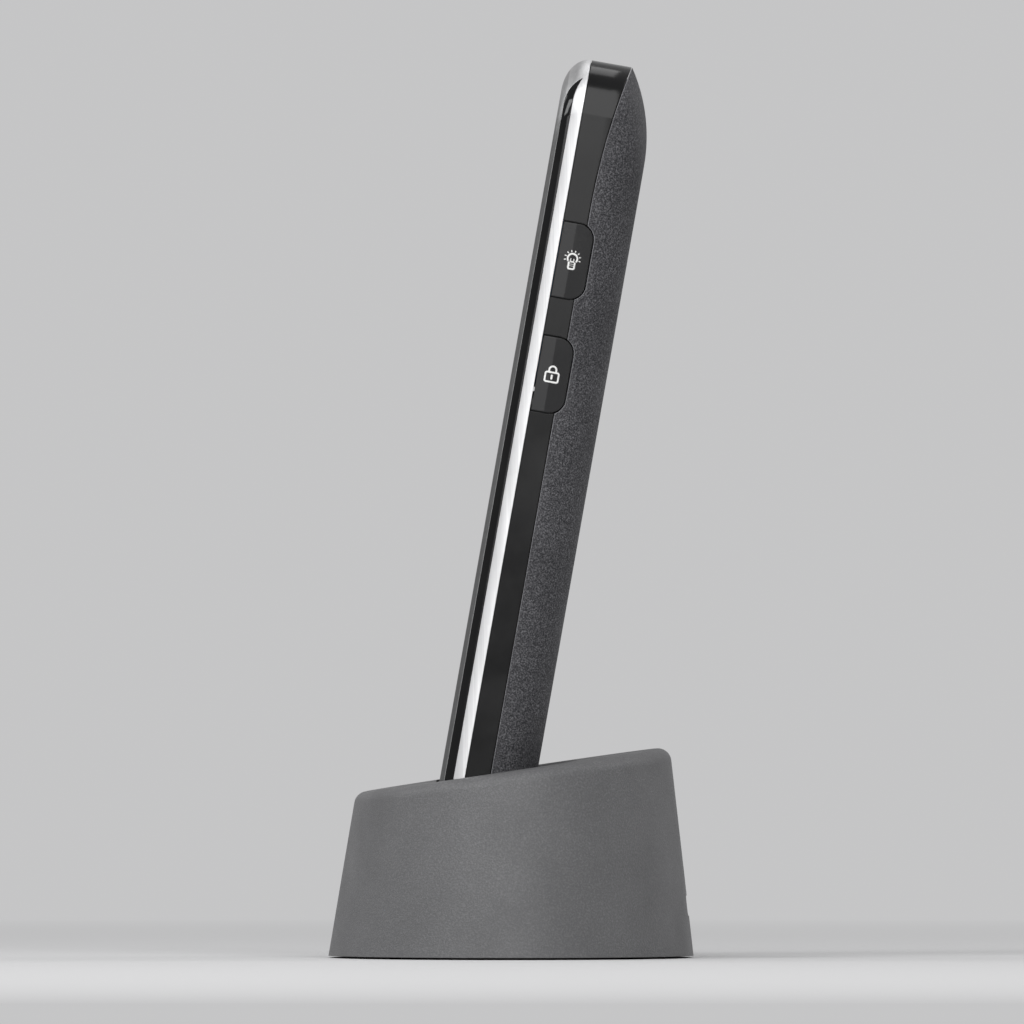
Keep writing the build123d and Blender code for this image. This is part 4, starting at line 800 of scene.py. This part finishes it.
# The lamp: a bulb open below, its neck with a rounded foot, a collar, two threads, two wires and rays
LAMP_LINE = 0.27 * MM
LAMP_RISE = 0.3 * MM
LAMP_RADIUS = 0.59 * MM
LAMP_START = -37
LAMP_SWEEP = 254
LAMP_STEPS = 40
FOOT_RISE = -1.03 * MM
FOOT_OUT = 0.245 * MM
FOOT_ROUND = 0.07 * MM
FOOT_STEPS = 8
NECK_TOP = -0.2 * MM
NECK_OUT = FOOT_OUT + FOOT_ROUND + LAMP_LINE / 2
NECK_INSIDE = 2 * NECK_OUT - LAMP_LINE
COLLAR_RISE = -0.17 * MM
COLLAR_TALL = 0.24 * MM
THREAD_RISES = (-0.52 * MM, -0.8 * MM)
THREAD_TALL = 0.08 * MM
WIRE_OUT = 0.24 * MM
WIRE_RISE = 0.12 * MM
WIRE_WIDE = 0.15 * MM
WIRE_TALL = 0.4 * MM
WIRE_TURN = 0.14
RAYS = 8
RAY_START = -13
RAY_STEP = 29.4
RAY_REACH = 1.12 * MM
RAY_LONG = 0.3 * MM
RAY_WIDE = 0.17 * MM
lamp = bmesh.new()
bow(
    lamp, 0, LAMP_RISE, LAMP_RADIUS, LAMP_RADIUS + LAMP_LINE, LAMP_START, LAMP_SWEEP, LAMP_STEPS
)
for side in (-1, 1):
    bar(lamp, side * NECK_OUT, (NECK_TOP + FOOT_RISE) / 2, LAMP_LINE, NECK_TOP - FOOT_RISE)
    bow(
        lamp, side * FOOT_OUT, FOOT_RISE, FOOT_ROUND, FOOT_ROUND + LAMP_LINE,
        270 if side > 0 else 180, 90, FOOT_STEPS,
    )
    bar(lamp, side * WIRE_OUT, WIRE_RISE, WIRE_WIDE, WIRE_TALL, side * WIRE_TURN)
bar(lamp, 0, FOOT_RISE - FOOT_ROUND - LAMP_LINE / 2, 2 * FOOT_OUT, LAMP_LINE)
bar(lamp, 0, COLLAR_RISE, NECK_INSIDE, COLLAR_TALL)
for thread_rise in THREAD_RISES:
    bar(lamp, 0, thread_rise, NECK_INSIDE, THREAD_TALL)
for ray in range(RAYS):
    heading = math.radians(RAY_START + RAY_STEP * ray)
    ray_rise = LAMP_RISE + RAY_REACH * math.sin(heading)
    bar(lamp, RAY_REACH * math.cos(heading), ray_rise, RAY_LONG, RAY_WIDE, heading)
creased_sign("torch_key_sign", lamp, 1, height_of(middle_of("torch_key")), "torch_key")

# The padlock: a box with rounded corners, a shackle on it and a keyhole in it
BOX_LINE = 0.28 * MM
BOX_RISE = -0.4 * MM
BOX_CORNER_OUT = 0.75 * MM
BOX_CORNER_UP = 0.47 * MM
BOX_ROUND = 0.1 * MM
BOX_EDGE = BOX_ROUND + BOX_LINE / 2
BOX_STEPS = 8
SHACKLE_LINE = 0.275 * MM
SHACKLE_RADIUS = 0.39 * MM
SHACKLE_RISE = 0.675 * MM
SHACKLE_STEPS = 20
SHACKLE_FOOT = BOX_RISE + BOX_CORNER_UP + BOX_ROUND + BOX_LINE
KEYHOLE_RISE = -0.39 * MM
KEYHOLE_TALL = 0.46 * MM
KEYHOLE_ROUND = 0.16 * MM
KEYHOLE_STEPS = 10
padlock = bmesh.new()
for side in (-1, 1):
    bar(padlock, side * (BOX_CORNER_OUT + BOX_EDGE), BOX_RISE, BOX_LINE, 2 * BOX_CORNER_UP)
    bar(padlock, 0, BOX_RISE + side * (BOX_CORNER_UP + BOX_EDGE), 2 * BOX_CORNER_OUT, BOX_LINE)
    bar(
        padlock, side * (SHACKLE_RADIUS + SHACKLE_LINE / 2), (SHACKLE_RISE + SHACKLE_FOOT) / 2,
        SHACKLE_LINE, SHACKLE_RISE - SHACKLE_FOOT,
    )
    bow(
        padlock, 0, KEYHOLE_RISE + side * KEYHOLE_TALL / 2, PINPOINT, KEYHOLE_ROUND,
        0 if side > 0 else 180, 180, KEYHOLE_STEPS,
    )
for corner, (right, above) in enumerate(((1, 1), (-1, 1), (-1, -1), (1, -1))):
    bow(
        padlock, right * BOX_CORNER_OUT, BOX_RISE + above * BOX_CORNER_UP, BOX_ROUND, BOX_ROUND + BOX_LINE,
        90 * corner, 90, BOX_STEPS,
    )
bow(
    padlock, 0, SHACKLE_RISE, SHACKLE_RADIUS, SHACKLE_RADIUS + SHACKLE_LINE, 0, 180, SHACKLE_STEPS
)
bar(padlock, 0, KEYHOLE_RISE, 2 * KEYHOLE_ROUND, KEYHOLE_TALL)
creased_sign("lock_key_sign", padlock, 1, height_of(middle_of("lock_key")), "lock_key")

# The rocker's plus above and minus below its middle
MARK_LONG = 1.7 * MM
MARK_LINE = 0.34 * MM
MARK_ARM = (MARK_LONG - MARK_LINE) / 2
MARK_RISE = 7.2 * MM
rocker_middle = height_of(middle_of("volume_rocker"))
for way, label in ((1, "more"), (-1, "less")):
    mark = bmesh.new()
    bar(mark, 0, 0, MARK_LONG, MARK_LINE)
    if label == "more":
        for side in (1, -1):
            bar(mark, 0, side * (MARK_LINE + MARK_ARM) / 2, MARK_LINE, MARK_ARM)
    mark_height = rocker_middle + way * MARK_RISE
    creased_sign("volume_" + label + "_sign", mark, -1, mark_height, "volume_rocker")

# Floor: a wide plain sheet in a pale neutral tone, which takes the shadow near the cradle and runs into
# the same tone as the air around it further out.
PALE = (0.56, 0.56, 0.565)
FLOOR_RADIUS = 9.0
FLOOR_SEGMENTS = 96
FLOOR_FADE_SPAN = (0.06, 0.6)
floor_form = bmesh.new()
bmesh.ops.create_circle(floor_form, cap_ends=True, segments=FLOOR_SEGMENTS, radius=FLOOR_RADIUS)
floor_mesh = bpy.data.meshes.new("floor")
floor_form.to_mesh(floor_mesh)
floor_form.free()
floor = bpy.data.objects.new("floor", floor_mesh)
bpy.context.scene.collection.objects.link(floor)
floor_material, floor_tree, floor_shader = start_material("floor_pale", 0.8)
floor_shader.inputs["Specular IOR Level"].default_value = 0.1
floor_shader.inputs["Base Color"].default_value = (*PALE, 1)
floor_air = add_node(floor_tree, "ShaderNodeEmission", Color=(*PALE, 1), Strength=1.0)
floor_place = floor_tree.nodes.new("ShaderNodeTexCoord")
floor_reach = floor_tree.nodes.new("ShaderNodeVectorMath")
floor_reach.operation = "LENGTH"
floor_tree.links.new(floor_place.outputs["Object"], floor_reach.inputs[0])
floor_fade = remap(floor_tree, floor_reach.outputs["Value"], FLOOR_FADE_SPAN)
floor_mix = floor_tree.nodes.new("ShaderNodeMixShader")
floor_tree.links.new(floor_fade, floor_mix.inputs["Fac"])
floor_tree.links.new(floor_shader.outputs["BSDF"], floor_mix.inputs[1])
floor_tree.links.new(floor_air.outputs["Emission"], floor_mix.inputs[2])
floor_tree.links.new(floor_mix.outputs["Shader"], floor_tree.nodes["Material Output"].inputs["Surface"])
floor_mesh.materials.append(floor_material)

# Air: the same pale tone wherever the camera, metal or glass looks past the object, and a plain soft
# light for everything else.
world = bpy.data.worlds.new("studio")
bpy.context.scene.world = world
world.use_nodes = True
air = world.node_tree
air_light = air.nodes["Background"]
air_light.inputs["Color"].default_value = (0.5, 0.5, 0.505, 1)
air_light.inputs["Strength"].default_value = 0.4
air_seen = add_node(air, "ShaderNodeBackground", Color=(*PALE, 1), Strength=1.0)
air_path = air.nodes.new("ShaderNodeLightPath").outputs
air_clear = arithmetic(air, "MAXIMUM", air_path["Is Camera Ray"], air_path["Is Transmission Ray"])
air_clear = arithmetic(air, "MAXIMUM", air_clear, air_path["Is Glossy Ray"])
air_mix = air.nodes.new("ShaderNodeMixShader")
air.links.new(air_clear, air_mix.inputs["Fac"])
air.links.new(air_light.outputs["Background"], air_mix.inputs[1])
air.links.new(air_seen.outputs["Background"], air_mix.inputs[2])
air.links.new(air_mix.outputs["Shader"], air.nodes["World Output"].inputs["Surface"])

# Lamps: soft boxes that look at the middle of the object, the largest before the flank that the camera
# sees. The camera itself doesn't see them.
OBJECT_MIDDLE = Vector((0, 0, 65 * MM))


def soft_box(name, place, power, wide=0.4, tall=0.4):
    """A rectangular soft lamp that looks at the object."""
    light = bpy.data.lights.new(name, "AREA")
    light.shape = "RECTANGLE"
    light.size = wide
    light.size_y = tall
    light.energy = power
    box = bpy.data.objects.new(name, light)
    bpy.context.scene.collection.objects.link(box)
    box.location = place
    box.visible_camera = False
    box.rotation_euler = (OBJECT_MIDDLE - Vector(place)).to_track_quat("-Z", "Y").to_euler()


soft_box("key_box", place=(0.62, -0.6, 0.55), power=4.5)
soft_box("flank_box", place=(0.74, 0.06, 0.515), power=7.5, wide=0.8, tall=0.96)
soft_box("screen_box", place=(-0.25, -0.8, 0.5), power=1.6)
soft_box("back_box", place=(-0.3, 0.8, 0.5), power=1.6)
soft_box("top_box", place=(-0.3, 0.0, 0.9), power=1.2)

# Camera: level with the middle of the picture, square to the flank, and so far off that edges stay
# parallel.
PICTURE = 151.7 * MM
PICTURE_MIDDLE = (0.15 * MM, 66.0 * MM)
FAR = 6.3
SENSOR = 36.0
camera_data = bpy.data.cameras.new("side_view")
camera_data.sensor_width = SENSOR
camera_data.lens = SENSOR * FAR / PICTURE
camera_data.clip_start = 0.1
camera_data.clip_end = 40.0
camera = bpy.data.objects.new("side_view", camera_data)
bpy.context.scene.collection.objects.link(camera)
camera.location = (FAR, *PICTURE_MIDDLE)
camera.rotation_euler = (math.radians(90), 0, math.radians(90))
bpy.context.scene.camera = camera
bpy.context.scene.view_settings.view_transform = "Standard"
